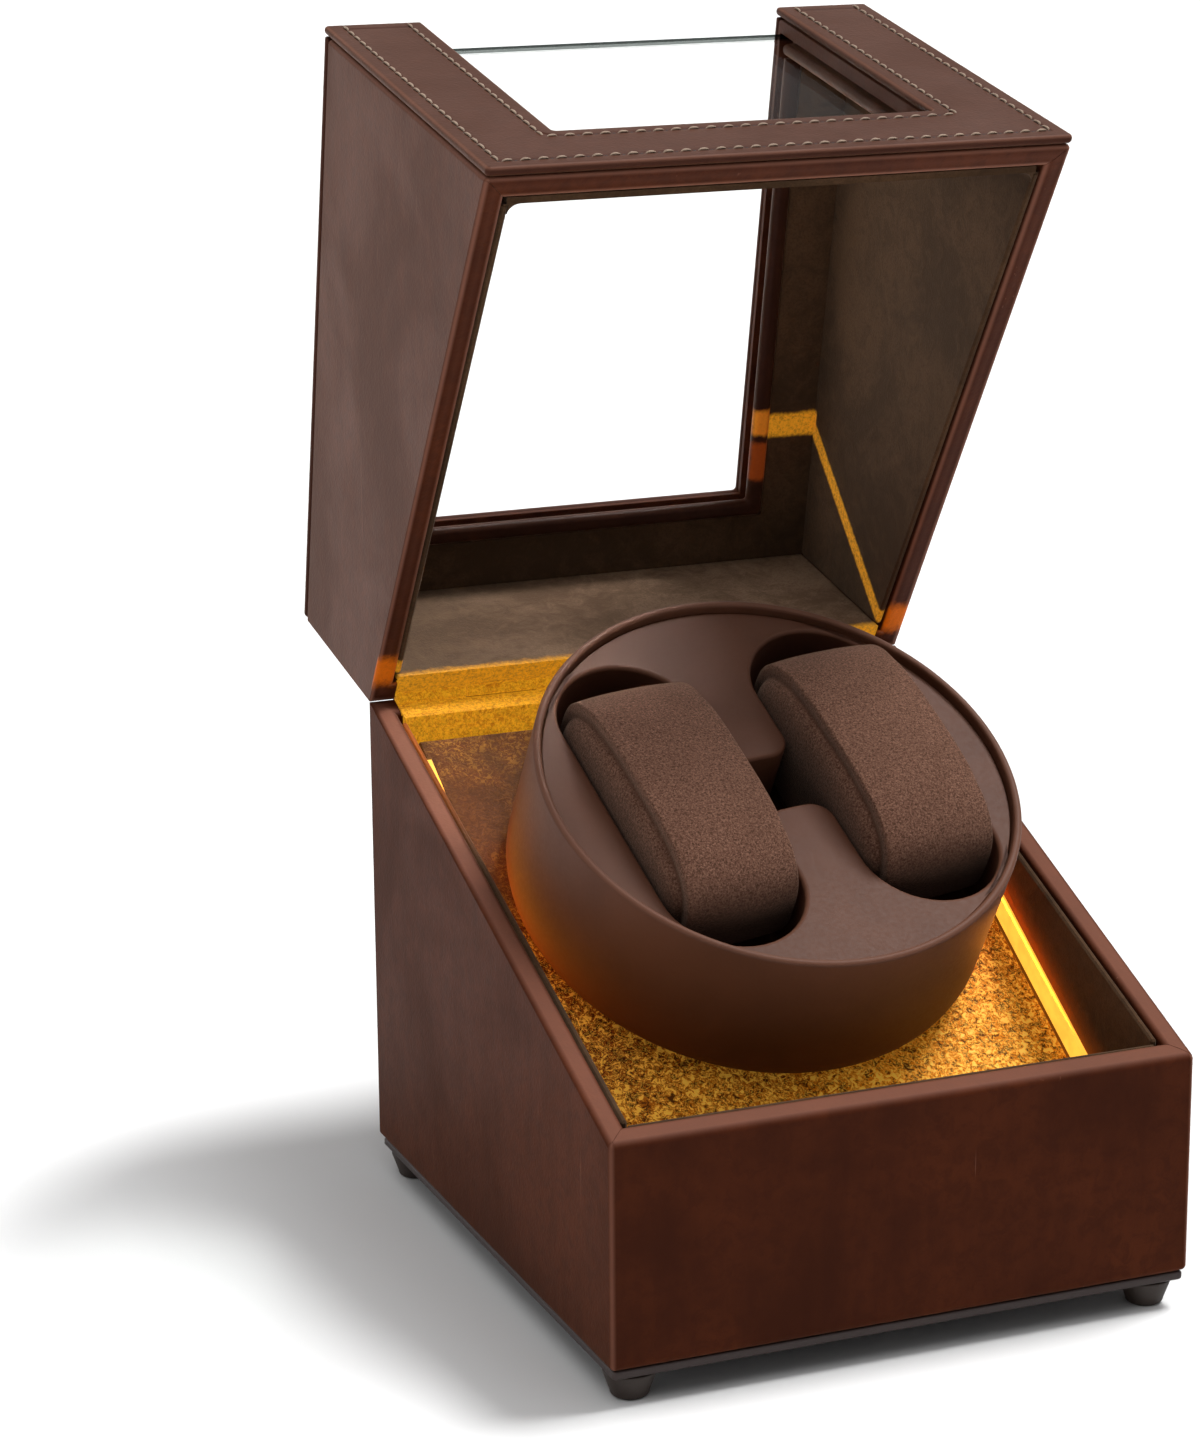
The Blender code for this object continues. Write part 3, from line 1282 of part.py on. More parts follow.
def build_controls(case):
    """Plate, inlet, circuit board and switches in the back wall."""
    outline = rounded_rectangle(
        PLATE_WIDTH, PLATE_HEIGHT, PLATE_CORNER, PLATE_CORNER_STEPS, CONTROL_HEIGHT
    )
    mesh = outline_mesh("control_plate", [outline], PLATE_INNER_Y, PLATE_OUTER_Y, "Y")
    plate = add_piece("control_plate", mesh, "black_plastic", case, smooth=True)
    holes = (
        (-CONTROL_SPACING, KNOB_STEM_RADIUS),
        (0, BUTTON_RADIUS),
        (CONTROL_SPACING, INLET_RADIUS),
    )
    for i, (x, radius) in enumerate(holes):
        hole = rod_mesh(
            f"plate_hole_{i}",
            radius + TOUCH,
            PLATE_INNER_Y - OVERRUN,
            PLATE_OUTER_Y + OVERRUN,
            "Y",
            (x, CONTROL_HEIGHT),
        )
        cut(plate, add_piece(f"plate_hole_{i}", hole, None, case))

    half_width = CIRCUIT_WIDTH / 2
    half_height = CIRCUIT_HEIGHT / 2
    mesh = box_mesh(
        "control_board",
        (-half_width, CIRCUIT_Y - CIRCUIT_THICKNESS, CONTROL_HEIGHT - half_height),
        (half_width, CIRCUIT_Y, CONTROL_HEIGHT + half_height),
    )
    add_piece("control_board", mesh, "circuit", case)

    half = ENCODER_SIZE / 2
    low_y = CIRCUIT_Y + TOUCH
    mesh = box_mesh(
        "mode_encoder",
        (-CONTROL_SPACING - half, low_y, CONTROL_HEIGHT - half),
        (half - CONTROL_SPACING, low_y + ENCODER_DEPTH, CONTROL_HEIGHT + half),
    )
    encoder = add_piece("mode_encoder", mesh, "black_plastic", case)
    socket = rod_mesh(
        "encoder_socket",
        KNOB_STEM_RADIUS + TOUCH,
        PLATE_INNER_Y - TOUCH - KNOB_STEM_LENGTH,
        PLATE_INNER_Y + OVERRUN,
        "Y",
        (-CONTROL_SPACING, CONTROL_HEIGHT),
    )
    cut(encoder, add_piece("encoder_socket", socket, None, case))

    button_inner = PLATE_INNER_Y - TOUCH - BUTTON_FLANGE
    switch_top = button_inner - BUTTON_TRAVEL - TOUCH
    half = SWITCH_SIZE / 2
    mesh = box_mesh(
        "light_switch",
        (-half, low_y, CONTROL_HEIGHT - half),
        (half, switch_top, CONTROL_HEIGHT + half),
    )
    add_piece("light_switch", mesh, "black_plastic", case)

    knob_seat = control_seat("mode_knob_axis", -CONTROL_SPACING, case)
    inner = PLATE_INNER_Y - KNOB_STEM_LENGTH
    near = PLATE_OUTER_Y + PLATE_RECESS + TOUCH
    far = near + KNOB_LENGTH
    profile = [
        (0, far),
        (KNOB_RADIUS - KNOB_EDGE, far),
        (KNOB_RADIUS, far - KNOB_EDGE),
        (KNOB_RADIUS, near),
        (KNOB_STEM_RADIUS, near),
        (KNOB_STEM_RADIUS, inner),
        (0, inner),
    ]
    knob = turned_piece("mode_knob", profile, "black_plastic", knob_seat, steps=ROUND_STEPS)
    mark = box_mesh(
        "knob_mark",
        (-KNOB_MARK_WIDTH / 2, -KNOB_RADIUS - OVERRUN, far - KNOB_MARK_DEPTH),
        (KNOB_MARK_WIDTH / 2, -KNOB_STEM_RADIUS, far + OVERRUN),
    )
    cut(knob, add_piece("knob_mark", mark, None, knob_seat))

    button_seat = control_seat("light_button_axis", 0, case)
    far = PLATE_OUTER_Y + BUTTON_PROUD
    profile = [
        (0, far),
        (BUTTON_RADIUS - BUTTON_EDGE, far),
        (BUTTON_RADIUS, far - BUTTON_EDGE),
        (BUTTON_RADIUS, PLATE_INNER_Y - TOUCH),
        (BUTTON_FLANGE_RADIUS, PLATE_INNER_Y - TOUCH),
        (BUTTON_FLANGE_RADIUS, button_inner),
        (0, button_inner),
    ]
    turned_piece("light_button", profile, "black_plastic", button_seat, steps=ROUND_STEPS)

    inlet_seat = control_seat("power_inlet_seat", CONTROL_SPACING, case)
    near = PLATE_OUTER_Y + TOUCH
    face = near + INLET_FLANGE
    bore_end = face - INLET_BORE_DEPTH
    profile = [
        (0, near),
        (INLET_PIN_RADIUS, near),
        (INLET_PIN_RADIUS, bore_end),
        (INLET_BORE_RADIUS, bore_end),
        (INLET_BORE_RADIUS, face),
        (INLET_FLANGE_RADIUS, face),
        (INLET_FLANGE_RADIUS, near),
        (INLET_RADIUS, near),
        (INLET_RADIUS, CIRCUIT_Y + TOUCH),
        (0, CIRCUIT_Y + TOUCH),
    ]
    turned_piece("power_inlet", profile, "black_plastic", inlet_seat, steps=ROUND_STEPS)


def control_seat(name, x, case):
    """A frame at a control's axis, with its Z pointing out of the back and its Y down."""
    return make_frame(name, (x, 0, CONTROL_HEIGHT), math.radians(-90), "X", case)


# Leads

def build_leads(case):
    """The motor's lead and the two light leads, which end at the circuit board."""
    board_face = CIRCUIT_Y - CIRCUIT_THICKNESS - TOUCH * 2
    motor_end = MOTOR_TOP + MOTOR_LENGTH + TOUCH
    start = tilt_to_case(0, PINION_OFFSET, motor_end)
    leave = tilt_to_case(0, PINION_OFFSET, motor_end + LEAD_PLUG_RUN)
    end = (MOTOR_LEAD_SIDE, board_face, CONTROL_HEIGHT)
    arrive = (MOTOR_LEAD_SIDE, board_face - LEAD_PLUG_RUN, CONTROL_HEIGHT)
    tube_piece("motor_lead", (start, leave, arrive, end), MOTOR_LEAD_RADIUS, "cable", case)

    back = deck_run(BACK_LINER_INNER - TOUCH, DECK_UNDERSIDE) - LIGHT_BACK_SHORT + TOUCH
    depth = DECK_DEPTH + LIGHT_SINK - LIGHT_LEAD_RADIUS - TOUCH
    turn = back + LIGHT_LEAD_RUN * LIGHT_LEAD_TURN_SHARE
    below = DECK_UNDERSIDE + LIGHT_LEAD_RUN
    far_below = below + LIGHT_LEAD_RUN * LIGHT_LEAD_DROP_SHARE
    middle = (LIGHT_INNER + LIGHT_OUTER) / 2
    for name, sign in (("light_lead_left", -1), ("light_lead_right", 1)):
        x = sign * middle
        far_x = sign * LIGHT_LEAD_SIDE
        route = (
            tilt_to_case(x, back, depth),
            tilt_to_case(x, back + LIGHT_LEAD_RUN, depth),
            tilt_to_case(x, turn, DECK_DEPTH),
            tilt_to_case(x, turn, below),
            tilt_to_case(x, turn, far_below),
            (far_x, board_face - LEAD_PLUG_RUN, CONTROL_HEIGHT),
            (far_x, board_face, CONTROL_HEIGHT),
        )
        tube_piece(name, route, LIGHT_LEAD_RADIUS, "cable", case)


# Whole winder

empty_scene()
PARTS = make_collection("watch_winder")
CUTTERS = make_collection("cutters")


def build_winder():
    """Every piece, in its frame."""
    case = make_frame("case", (0, -OPEN_DEPTH / 2, FOOT_HEIGHT))
    hinge_place = (0, CASE_DEPTH, BACK_WALL_HEIGHT)
    lid = make_frame("lid_hinge_axis", hinge_place, -LID_OPEN_ANGLE, "X", case)
    back_to_zero = (0, -CASE_DEPTH, -BACK_WALL_HEIGHT)
    shut = make_frame("lid_shut_frame", back_to_zero, parent=lid)
    drum_place = (0, DRUM_CENTRE_Y, DRUM_CENTRE_Z)
    tilt = make_frame("drum_tilt", drum_place, DRUM_TILT, "X", case)
    spin = make_frame("drum_axis", (0, 0, 0), DRUM_TURN, "Z", tilt)
    pinion_seat = make_frame("pinion_axis", (0, PINION_OFFSET, 0), parent=tilt)
    build_base(case)
    build_hinge(case, lid)
    build_lid(lid, shut)
    build_deck(tilt)
    build_drum(spin)
    build_pillows(spin)
    build_drive(tilt, pinion_seat)
    build_controls(case)
    build_leads(case)


build_winder()
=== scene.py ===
"""A watch winder with its lid open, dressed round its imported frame.

Metres, +Z up, the front faces -Y. The case frame has its zero at mid width, on the front face and on the
underside of the bottom board. The lid is drawn shut in the case frame and then turned open about its hinge.
The tilt frame has its zero at the middle of the drum's rim and its Z along the drum's axis.
"""
import json
import logging
import math
from dataclasses import dataclass, replace
from enum import Enum

import bmesh
import bpy
import numpy as np
from mathutils import Matrix, Vector


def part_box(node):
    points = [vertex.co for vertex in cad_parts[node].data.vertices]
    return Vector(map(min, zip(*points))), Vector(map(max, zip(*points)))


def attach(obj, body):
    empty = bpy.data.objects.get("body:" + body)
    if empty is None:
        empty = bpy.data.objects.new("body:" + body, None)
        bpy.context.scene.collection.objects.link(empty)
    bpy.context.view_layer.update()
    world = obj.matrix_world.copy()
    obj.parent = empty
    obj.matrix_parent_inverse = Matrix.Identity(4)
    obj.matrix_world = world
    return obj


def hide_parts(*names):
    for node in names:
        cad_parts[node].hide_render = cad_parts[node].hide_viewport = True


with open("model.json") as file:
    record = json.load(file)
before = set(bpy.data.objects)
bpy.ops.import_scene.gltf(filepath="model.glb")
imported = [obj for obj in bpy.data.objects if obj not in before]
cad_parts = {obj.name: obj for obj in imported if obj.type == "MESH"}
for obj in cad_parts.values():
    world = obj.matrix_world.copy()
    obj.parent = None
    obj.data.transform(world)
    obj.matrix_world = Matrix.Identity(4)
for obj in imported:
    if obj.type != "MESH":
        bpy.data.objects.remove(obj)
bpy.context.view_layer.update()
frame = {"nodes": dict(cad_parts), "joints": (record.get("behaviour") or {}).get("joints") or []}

LOG = logging.getLogger("winder")
Array = np.ndarray
Colour = tuple[float, float, float]
Socket = bpy.types.NodeSocket
MM = 0.001
RIGHT = np.array([1.0, 0.0, 0.0])
BACK = np.array([0.0, 1.0, 0.0])
UP = np.array([0.0, 0.0, 1.0])
WELD = 0.2e-6
FILL_WELD = 2e-6
SMOOTH_ANGLE = 38.0
THREAD_ANGLE = 80.0
CORNER_STEPS = 7
EDGE_STEPS = 7
LEAST_CORNER = 0.25 * MM
LEAST_GROWN_CORNER = 0.15 * MM


# Frames


def shift(x: float, y: float, z: float) -> Array:
    """A move, as a 4 by 4 array."""
    matrix = np.eye(4)
    matrix[:3, 3] = (x, y, z)
    return matrix


def turn(angle: float, axis: str) -> Array:
    """A turn about X, Y or Z, as a 4 by 4 array."""
    return np.array(Matrix.Rotation(angle, 4, axis))


def axes(second: Array, third: Array, place: Array | tuple = (0, 0, 0), first: Array = RIGHT) -> Array:
    """A frame from its axes and its zero, as a 4 by 4 array. Its X stays unless the first axis is given."""
    matrix = np.eye(4)
    matrix[:3, 0], matrix[:3, 1], matrix[:3, 2], matrix[:3, 3] = first, second, third, place
    return matrix


def placed(points: Array, matrix: Array) -> Array:
    """Points moved by a 4 by 4 array.

    Args:
        points: An array whose last axis is x, y, z.
        matrix: The frame that the points are drawn in.

    Returns:
        The points in the world, in the same shape.
    """
    return points @ matrix[:3, :3].T + matrix[:3, 3]


def joint(name: str) -> dict:
    """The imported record's joint of that name."""
    return next(entry for entry in frame["joints"] if entry["name"] == name)


@dataclass(frozen=True)
class Layout:
    """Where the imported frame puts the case, the lid and the drum."""

    hinge: Array
    drum_centre: Array
    tilt: float
    open_angle: float
    half_width: float
    front: float
    ground: float

    @classmethod
    def read(cls) -> "Layout":
        """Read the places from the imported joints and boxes."""
        axis = joint("drum_spin")["axis"]
        low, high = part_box("base_shell")
        return cls(
            hinge=np.array(joint("lid_hinge")["pos_m"]),
            drum_centre=np.array(joint("drum_spin")["pos_m"]),
            tilt=math.atan2(-axis[1], axis[2]),
            open_angle=-math.radians(joint("lid_hinge")["range_deg"][0]),
            half_width=high[0],
            front=low[1],
            ground=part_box("bottom_board")[0][2],
        )

    @property
    def depth(self) -> float:
        """Depth of the case."""
        return self.hinge[1] - self.front

    @property
    def back_height(self) -> float:
        """Height of the hinge line in the case frame."""
        return self.hinge[2] - self.ground

    @property
    def case(self) -> Array:
        """The case frame."""
        return shift(0, self.front, self.ground)

    @property
    def lid(self) -> Array:
        """The frame that opens what is drawn shut."""
        out = shift(0, self.depth, self.back_height)
        back = shift(0, -self.depth, -self.back_height)
        return self.case @ out @ turn(-self.open_angle, "X") @ back

    @property
    def tilted(self) -> Array:
        """The tilt frame."""
        return shift(*self.drum_centre) @ turn(self.tilt, "X")


PLACE = Layout.read()


@dataclass(frozen=True)
class Case:
    """Sizes that the base and the lid share."""

    wall: float = 6.0 * MM
    front_height: float = 61.63 * MM
    lid_rise: float = 59.0 * MM
    seam_gap: float = 0.36 * MM
    touch: float = 0.3 * MM
    edge: float = 1.5 * MM
    hinge_edge: float = 0.35 * MM
    board: float = 2.4 * MM
    pad: float = 2.5 * MM
    strip: float = 27.5 * MM
    lid_front: float = 6.2 * MM
    lid_top: float = 4.0 * MM
    glass: float = 2.0 * MM
    glass_lap: float = 3.7 * MM
    moulding_width: float = 5.0 * MM
    moulding_depth: float = 3.7 * MM
    liner: float = 1.7 * MM
    crown: float = 0.08 * MM
    close_over: float = 6.0 * MM
    closest: float = 0.93
    fold_steps: float = 1.1
    # The two fields below set how wide and how strong the paler band on the walls' rounded corners is: wear and a
    # painted highlight.
    corner_pale_steps: float = 2.2
    corner_wear_and_highlight: float = 0.8
    step_depth: float = 2.0 * MM

    @property
    def slope(self) -> float:
        """Rise of the seam for each metre towards the back."""
        return (PLACE.back_height - self.front_height) / PLACE.depth

    @property
    def seam_angle(self) -> float:
        """Angle of the seam to the floor."""
        return math.atan(self.slope)

    @property
    def off_seam(self) -> Array:
        """The way up from the seam and at right angles to it, with the lid shut."""
        return np.array([0, -math.sin(self.seam_angle), math.cos(self.seam_angle)])

    @property
    def down_seam(self) -> Array:
        """The way down along the seam, from the hinge to the front."""
        return np.array([0, -math.cos(self.seam_angle), -math.sin(self.seam_angle)])

    @property
    def closed_height(self) -> float:
        """Height of the shut lid's top."""
        return PLACE.back_height + self.lid_rise

    @property
    def board_front(self) -> float:
        """Depth of the front face of the lid's front board."""
        return self.pad + self.touch

    @property
    def board_top(self) -> float:
        """Height of the upper face of the lid's top board."""
        return self.closed_height - self.pad - self.touch

    @property
    def window_half(self) -> float:
        """Half of the window's width."""
        return PLACE.half_width - self.strip

    def seam(self, y: Array, gap: Array | float = 0.0) -> Array:
        """Height of the sloping seam at a depth, or of a plane that far beside it."""
        return self.front_height + y * self.slope + gap * math.hypot(1.0, self.slope)

    def closeness(self, y: Array) -> Array:
        """0 along the rims and nearly 1 at the hinge, where base and lid almost touch."""
        return np.clip((y - PLACE.depth) / self.close_over + 1.5, 0.0, self.closest)

    def corner_edges(self) -> Array:
        """Radius of the walls' upright corners: crisp at the hinge."""
        return np.array([self.edge, self.edge, self.hinge_edge, self.hinge_edge])


CASE = Case()
CASE_LINER_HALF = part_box("base_liner_back")[1][0]


# Mesh making


class Skin:
    """Grids, caps and copies that together make the mesh of one piece."""

    def __init__(self) -> None:
        """Start with no points."""
        self.points: list[Array] = []
        self.worn: list[Array] = []
        self.faces: list[list[int]] = []
        self.count = 0

    def add(self, points: Array, worn: Array | float = 0.0) -> Array:
        """Add points.

        Args:
            points: An array whose last axis is x, y, z.
            worn: How much scuffing and painted light each point carries, from 0 to 1: paler on scuffed and highlit
                edges, darker in shaded seams.

        Returns:
            The points' numbers, in the shape of the leading axes.
        """
        shape = points.shape[:-1]
        size = int(np.prod(shape))
        self.points.append(points.reshape(-1, 3))
        self.worn.append(np.broadcast_to(worn, shape).reshape(-1).astype(float))
        numbers = self.count + np.arange(size).reshape(shape)
        self.count += size
        return numbers

    def grid(
        self, points: Array, worn: Array | float = 0.0, round_rows: bool = False, caps: bool = True
    ) -> Array:
        """Add a grid of quads, whose last column is joined to its first.

        Args:
            points: An array of rows, columns and x, y, z.
            worn: How much scuffing and painted light each point carries, or each row as one column.
            round_rows: Join the last row to the first.
            caps: Close the first and last row with one face each.

        Returns:
            The points' numbers.
        """
        numbers = self.add(points, worn)
        lattice = numbers
        if round_rows:
            lattice = np.concatenate([lattice, lattice[:1]])
        lattice = np.concatenate([lattice, lattice[:, :1]], axis=1)
        corners = (lattice[:-1, :-1], lattice[:-1, 1:], lattice[1:, 1:], lattice[1:, :-1])
        self.faces += np.stack(corners, -1).reshape(-1, 4).tolist()
        if caps and not round_rows:
            self.faces += [numbers[0][::-1].tolist(), numbers[-1].tolist()]
        return numbers

    def copies(self, unit: Array, turns: Array, places: Array) -> None:
        """Add turned and moved copies of one closed grid, such as a stitch.

        Args:
            unit: The grid of one copy, with rows, columns and x, y, z.
            turns: A 3 by 3 array for each copy, whose columns are its own axes.
            places: The place of each copy.
        """
        points = np.einsum("sij,rcj->srci", turns, unit) + places[:, None, None, :]
        numbers = self.add(points)
        lattice = np.concatenate([numbers, numbers[:, :, :1]], axis=2)
        near, far = lattice[:, :-1], lattice[:, 1:]
        corners = (near[..., :-1], near[..., 1:], far[..., 1:], far[..., :-1])
        self.faces += np.stack(corners, -1).reshape(-1, 4).tolist()
        self.faces += numbers[:, 0, ::-1].tolist()
        self.faces += numbers[:, -1, :].tolist()

    def make(self, name: str, matrix: Array, smooth: float = SMOOTH_ANGLE) -> bpy.types.Object:
        """Make the piece, with its faces pointing out and its place in its mesh.

        Args:
            name: The piece's name.
            matrix: The frame that the points are drawn in.
            smooth: The angle in degrees past which an edge stays sharp.

        Returns:
            The piece, at the origin.
        """
        mesh = bpy.data.meshes.new(name)
        points = placed(np.concatenate(self.points), matrix)
        mesh.from_pydata(points.tolist(), [], self.faces)
        wear_and_light = mesh.attributes.new("worn", "FLOAT", "POINT")
        wear_and_light.data.foreach_set("value", np.concatenate(self.worn))
        tidy = bmesh.new()
        tidy.from_mesh(mesh)
        bmesh.ops.remove_doubles(tidy, verts=tidy.verts[:], dist=WELD)
        bmesh.ops.recalc_face_normals(tidy, faces=tidy.faces[:])
        tidy.to_mesh(mesh)
        tidy.free()
        shade(mesh, smooth)
        return linked(name, mesh)


def shade(mesh: bpy.types.Mesh, angle: float = SMOOTH_ANGLE) -> None:
    """Shade a mesh smooth, apart from the edges past an angle in degrees."""
    mesh.shade_smooth()
    mesh.set_sharp_from_angle(angle=math.radians(angle))


def linked(name: str, data: bpy.types.ID) -> bpy.types.Object:
    """A new object in the scene."""
    thing = bpy.data.objects.new(name, data)
    bpy.context.scene.collection.objects.link(thing)
    return thing


def rounded_outline(corners: Array, radii: Array, steps: int = CORNER_STEPS) -> Array:
    """Outlines whose corners are replaced by arcs.

    An arc starts a distance r tan(a / 2) before its corner, where a is the angle that the outline turns by,
    and its point at angle s is start + r sin(s) along the old direction + r (1 - cos(s)) to the inner side.

    Args:
        corners: An array of outlines, corners and u, v.
        radii: The radius of each corner of each outline.
        steps: Quads along each arc.

    Returns:
        An array of outlines, points and u, v.
    """
    along = corners - np.roll(corners, 1, axis=1)
    along /= np.linalg.norm(along, axis=-1, keepdims=True)
    away = np.roll(along, -1, axis=1)
    crossed = along[..., 0] * away[..., 1] - along[..., 1] * away[..., 0]
    bend = np.arctan2(crossed, (along * away).sum(-1))
    radii = np.broadcast_to(radii, bend.shape)
    start = corners - along * (radii * np.tan(np.abs(bend) / 2))[..., None]
    left = np.stack([-along[..., 1], along[..., 0]], -1) * np.sign(bend)[..., None]
    angle = np.abs(bend)[..., None] * np.linspace(0, 1, steps + 1)
    reach = radii[..., None, None]
    forward = np.sin(angle)[..., None] * along[:, :, None, :]
    inward = (1 - np.cos(angle))[..., None] * left[:, :, None, :]
    points = start[:, :, None, :] + reach * (forward + inward)
    return points.reshape(len(corners), -1, 2)


def inset_corners(corners: Array, insets: Array) -> Array:
    """Corners of an outline moved inwards.

    A corner moves along the sum of its two inward normals, over one plus their product, so that both edges
    move by the same amount.

    Args:
        corners: The outline's corners, read anticlockwise.
        insets: How far to move, for each copy.

    Returns:
        An array of copies, corners and u, v.
    """
    along = np.roll(corners, -1, axis=0) - corners
    along /= np.linalg.norm(along, axis=-1, keepdims=True)
    after = np.stack([-along[:, 1], along[:, 0]], -1)
    before = np.roll(after, 1, axis=0)
    mitre = (before + after) / (1 + (before * after).sum(-1, keepdims=True))
    return corners[None] + np.asarray(insets)[:, None, None] * mitre[None]


def corner_turns(corners: Array) -> Array:
    """1 for each corner where an anticlockwise outline turns left, and -1 where it turns right."""
    along = np.roll(corners, -1, axis=0) - corners
    before = np.roll(along, 1, axis=0)
    return np.sign(before[:, 0] * along[:, 1] - before[:, 1] * along[:, 0])


def edge_profile(radius: float, depth: float, steps: int = EDGE_STEPS) -> Array:
    """Section of a board's edge, from its back face round its side to its front face.

    Both edges are quarter circles: inset r (1 - sin(s)), height r (1 - cos(s)).

    Args:
        radius: The radius of both edges.
        depth: The board's thickness.
        steps: Quads along each quarter.

    Returns:
        An array of inset, height, and scuffing with a painted highlight.
    """
    s = np.linspace(0, math.pi / 2, steps + 1)
    rise = np.stack([radius * (1 - np.sin(s)), radius * (1 - np.cos(s))], -1)
    over = np.stack([rise[::-1, 0], depth - rise[::-1, 1]], -1)
    # The front edge is paler: wear and a painted highlight.
    edge_wear_and_light = np.sin(s * 2) ** 2
    return np.column_stack([np.concatenate([rise, over]), np.concatenate([edge_wear_and_light * 0, edge_wear_and_light[::-1]])])


def raised(outlines: Array, heights: Array) -> Array:
    """Outlines of u and v as points in space, at heights given for each point or as one column."""
    return np.concatenate([outlines, np.broadcast_to(heights, outlines.shape[:2])[..., None]], axis=-1)


def board(corners: Array, radii: Array, profile: Array) -> Skin:
    """A flat board: its outline is repeated at each inset and height of a profile, and its faces are capped.

    Args:
        corners: The outline's corners, read anticlockwise.
        radii: The radius of each corner at no inset.
        profile: Rows of inset, height, and scuffing with a painted highlight.

    Returns:
        The skin that holds the board.
    """
    grown = np.asarray(radii)[None] - profile[:, :1] * corner_turns(corners)[None]
    grown = np.maximum(grown, LEAST_GROWN_CORNER)
    outline = rounded_outline(inset_corners(corners, profile[:, 0]), grown)
    skin = Skin()
    skin.grid(raised(outline, profile[:, 1:2]), worn=profile[:, 2:3])
    return skin


def u_shape(outer: float, inner: float, low: float, high: float, sill: float) -> Array:
    """Corners of a U that is open at its high end, read anticlockwise.

    Args:
        outer: Half of its width.
        inner: Half of the width between its arms.
        low: Where its closed end starts.
        high: Where its arms end.
        sill: Where the space between its arms starts.

    Returns:
        The corners.
    """
    right = [(outer, low), (outer, high), (inner, high), (inner, sill)]
    left = [(-u, v) for u, v in reversed(right)]
    return np.array(left[-1:] + right + left[:-1])


def bar(name: str, section: Array, half: float, matrix: Array) -> bpy.types.Object:
    """A bar along X, from its section's depths and heights.

    Args:
        name: The bar's name.
        section: The corners of its section, as depth and height.
        half: Half of its length.
        matrix: The frame that it is drawn in.

    Returns:
        The bar.
    """
    ends = np.array([-half, half])
    skin = Skin()
    skin.grid(np.stack(np.broadcast_arrays(ends[:, None], section[None, :, 0], section[None, :, 1]), -1))
    return skin.make(name, matrix)


def walls_round(
    rows: Array, from_seam: Array, front: float, level: float, side: int, crease: float
) -> tuple[Array, Array]:
    """A section carried round the case, with some of its rows along the sloping seam.

    A point is the outline at its row's inset. Its height is measured from a level, or from the seam at its own
    depth. At n steps from the middle of a front corner a crease, where the leather is folded, draws the rim
    back by exp(-(n / w)^2).

    Args:
        rows: The section's insets, heights, and scuffing with a painted highlight.
        from_seam: Which rows follow the seam.
        front: Depth of the front wall's face.
        level: What the other rows' heights are measured from.
        side: -1 for the base and 1 for the lid.
        crease: Depth of the crease.

    Returns:
        The grid of points, and how much scuffing and painted highlight each carries.
    """
    half, depth = PLACE.half_width, PLACE.depth
    corners = np.array([(-half, front), (half, front), (half, depth), (-half, depth)], float)
    radii = np.maximum(CASE.corner_edges() - rows[:, :1], LEAST_CORNER)
    outline = rounded_outline(inset_corners(corners, rows[:, 0]), radii)
    opened = 1 - CASE.closeness(outline[..., 1])
    seam = CASE.seam(outline[..., 1], side * CASE.seam_gap / 2 * opened)
    height = np.where(from_seam[:, None], seam + rows[:, 1:2] * opened, level + rows[:, 1:2])
    steps = np.abs(np.arange(outline.shape[1]) % (CORNER_STEPS + 1) - CORNER_STEPS / 2)
    fold = np.exp(-((steps / CASE.fold_steps) ** 2)) * (outline[0, :, 1] < depth / 2)
    height = height + side * from_seam[:, None] * fold[None] * crease
    # The rounded corners are paler on the outer rows: wear and a painted highlight.
    wear_and_light = np.exp(-((steps / CASE.corner_pale_steps) ** 2)) * CASE.corner_wear_and_highlight
    worn = np.maximum(rows[:, 2:3], wear_and_light[None] * (rows[:, :1] < CASE.edge))
    return raised(outline, height), worn


def turned(profile: Array, steps: int) -> Array:
    """A profile turned about Z: x = r cos(a), y = r sin(a), z = height.

    Args:
        profile: Rows of radius and height.
        steps: Columns round the axis.

    Returns:
        A grid of rows, columns and x, y, z.
    """
    angle = np.linspace(0, math.tau, steps, endpoint=False)
    radius = np.broadcast_to(profile[:, :1], (len(profile), steps))
    height = np.broadcast_to(profile[:, 1:2], radius.shape)
    return np.stack([radius * np.cos(angle), radius * np.sin(angle), height], -1)


def arc(
    centre: tuple[float, float], radii: tuple[float, float], span: tuple[float, float], steps: int
) -> Array:
    """Points of an elliptic arc, from one angle in degrees to another."""
    angle = np.radians(np.linspace(*span, steps + 1))
    return np.stack([centre[0] + radii[0] * np.cos(angle), centre[1] + radii[1] * np.sin(angle)], -1)


def cut(piece: bpy.types.Object, cutters: list[bpy.types.Object]) -> None:
    """Cut closed pieces out of a piece, and take the cutters away."""
    for cutter in cutters:
        step = piece.modifiers.new(cutter.name, "BOOLEAN")
        step.operation = "DIFFERENCE"
        step.object = cutter
        step.solver = "EXACT"
    graph = bpy.context.evaluated_depsgraph_get()
    mesh = bpy.data.meshes.new_from_object(piece.evaluated_get(graph))
    piece.modifiers.clear()
    old = piece.data
    piece.data = mesh
    bpy.data.meshes.remove(old)
    for cutter in cutters:
        bpy.data.objects.remove(cutter, do_unlink=True)
    shade(mesh)


def even_normals(piece: bpy.types.Object) -> None:
    """Shade large flat faces flat, and only the rounded edges beside them round."""
    step = piece.modifiers.new("even_normals", "WEIGHTED_NORMAL")
    step.keep_sharp = True
    step.weight = 100


# Finishes


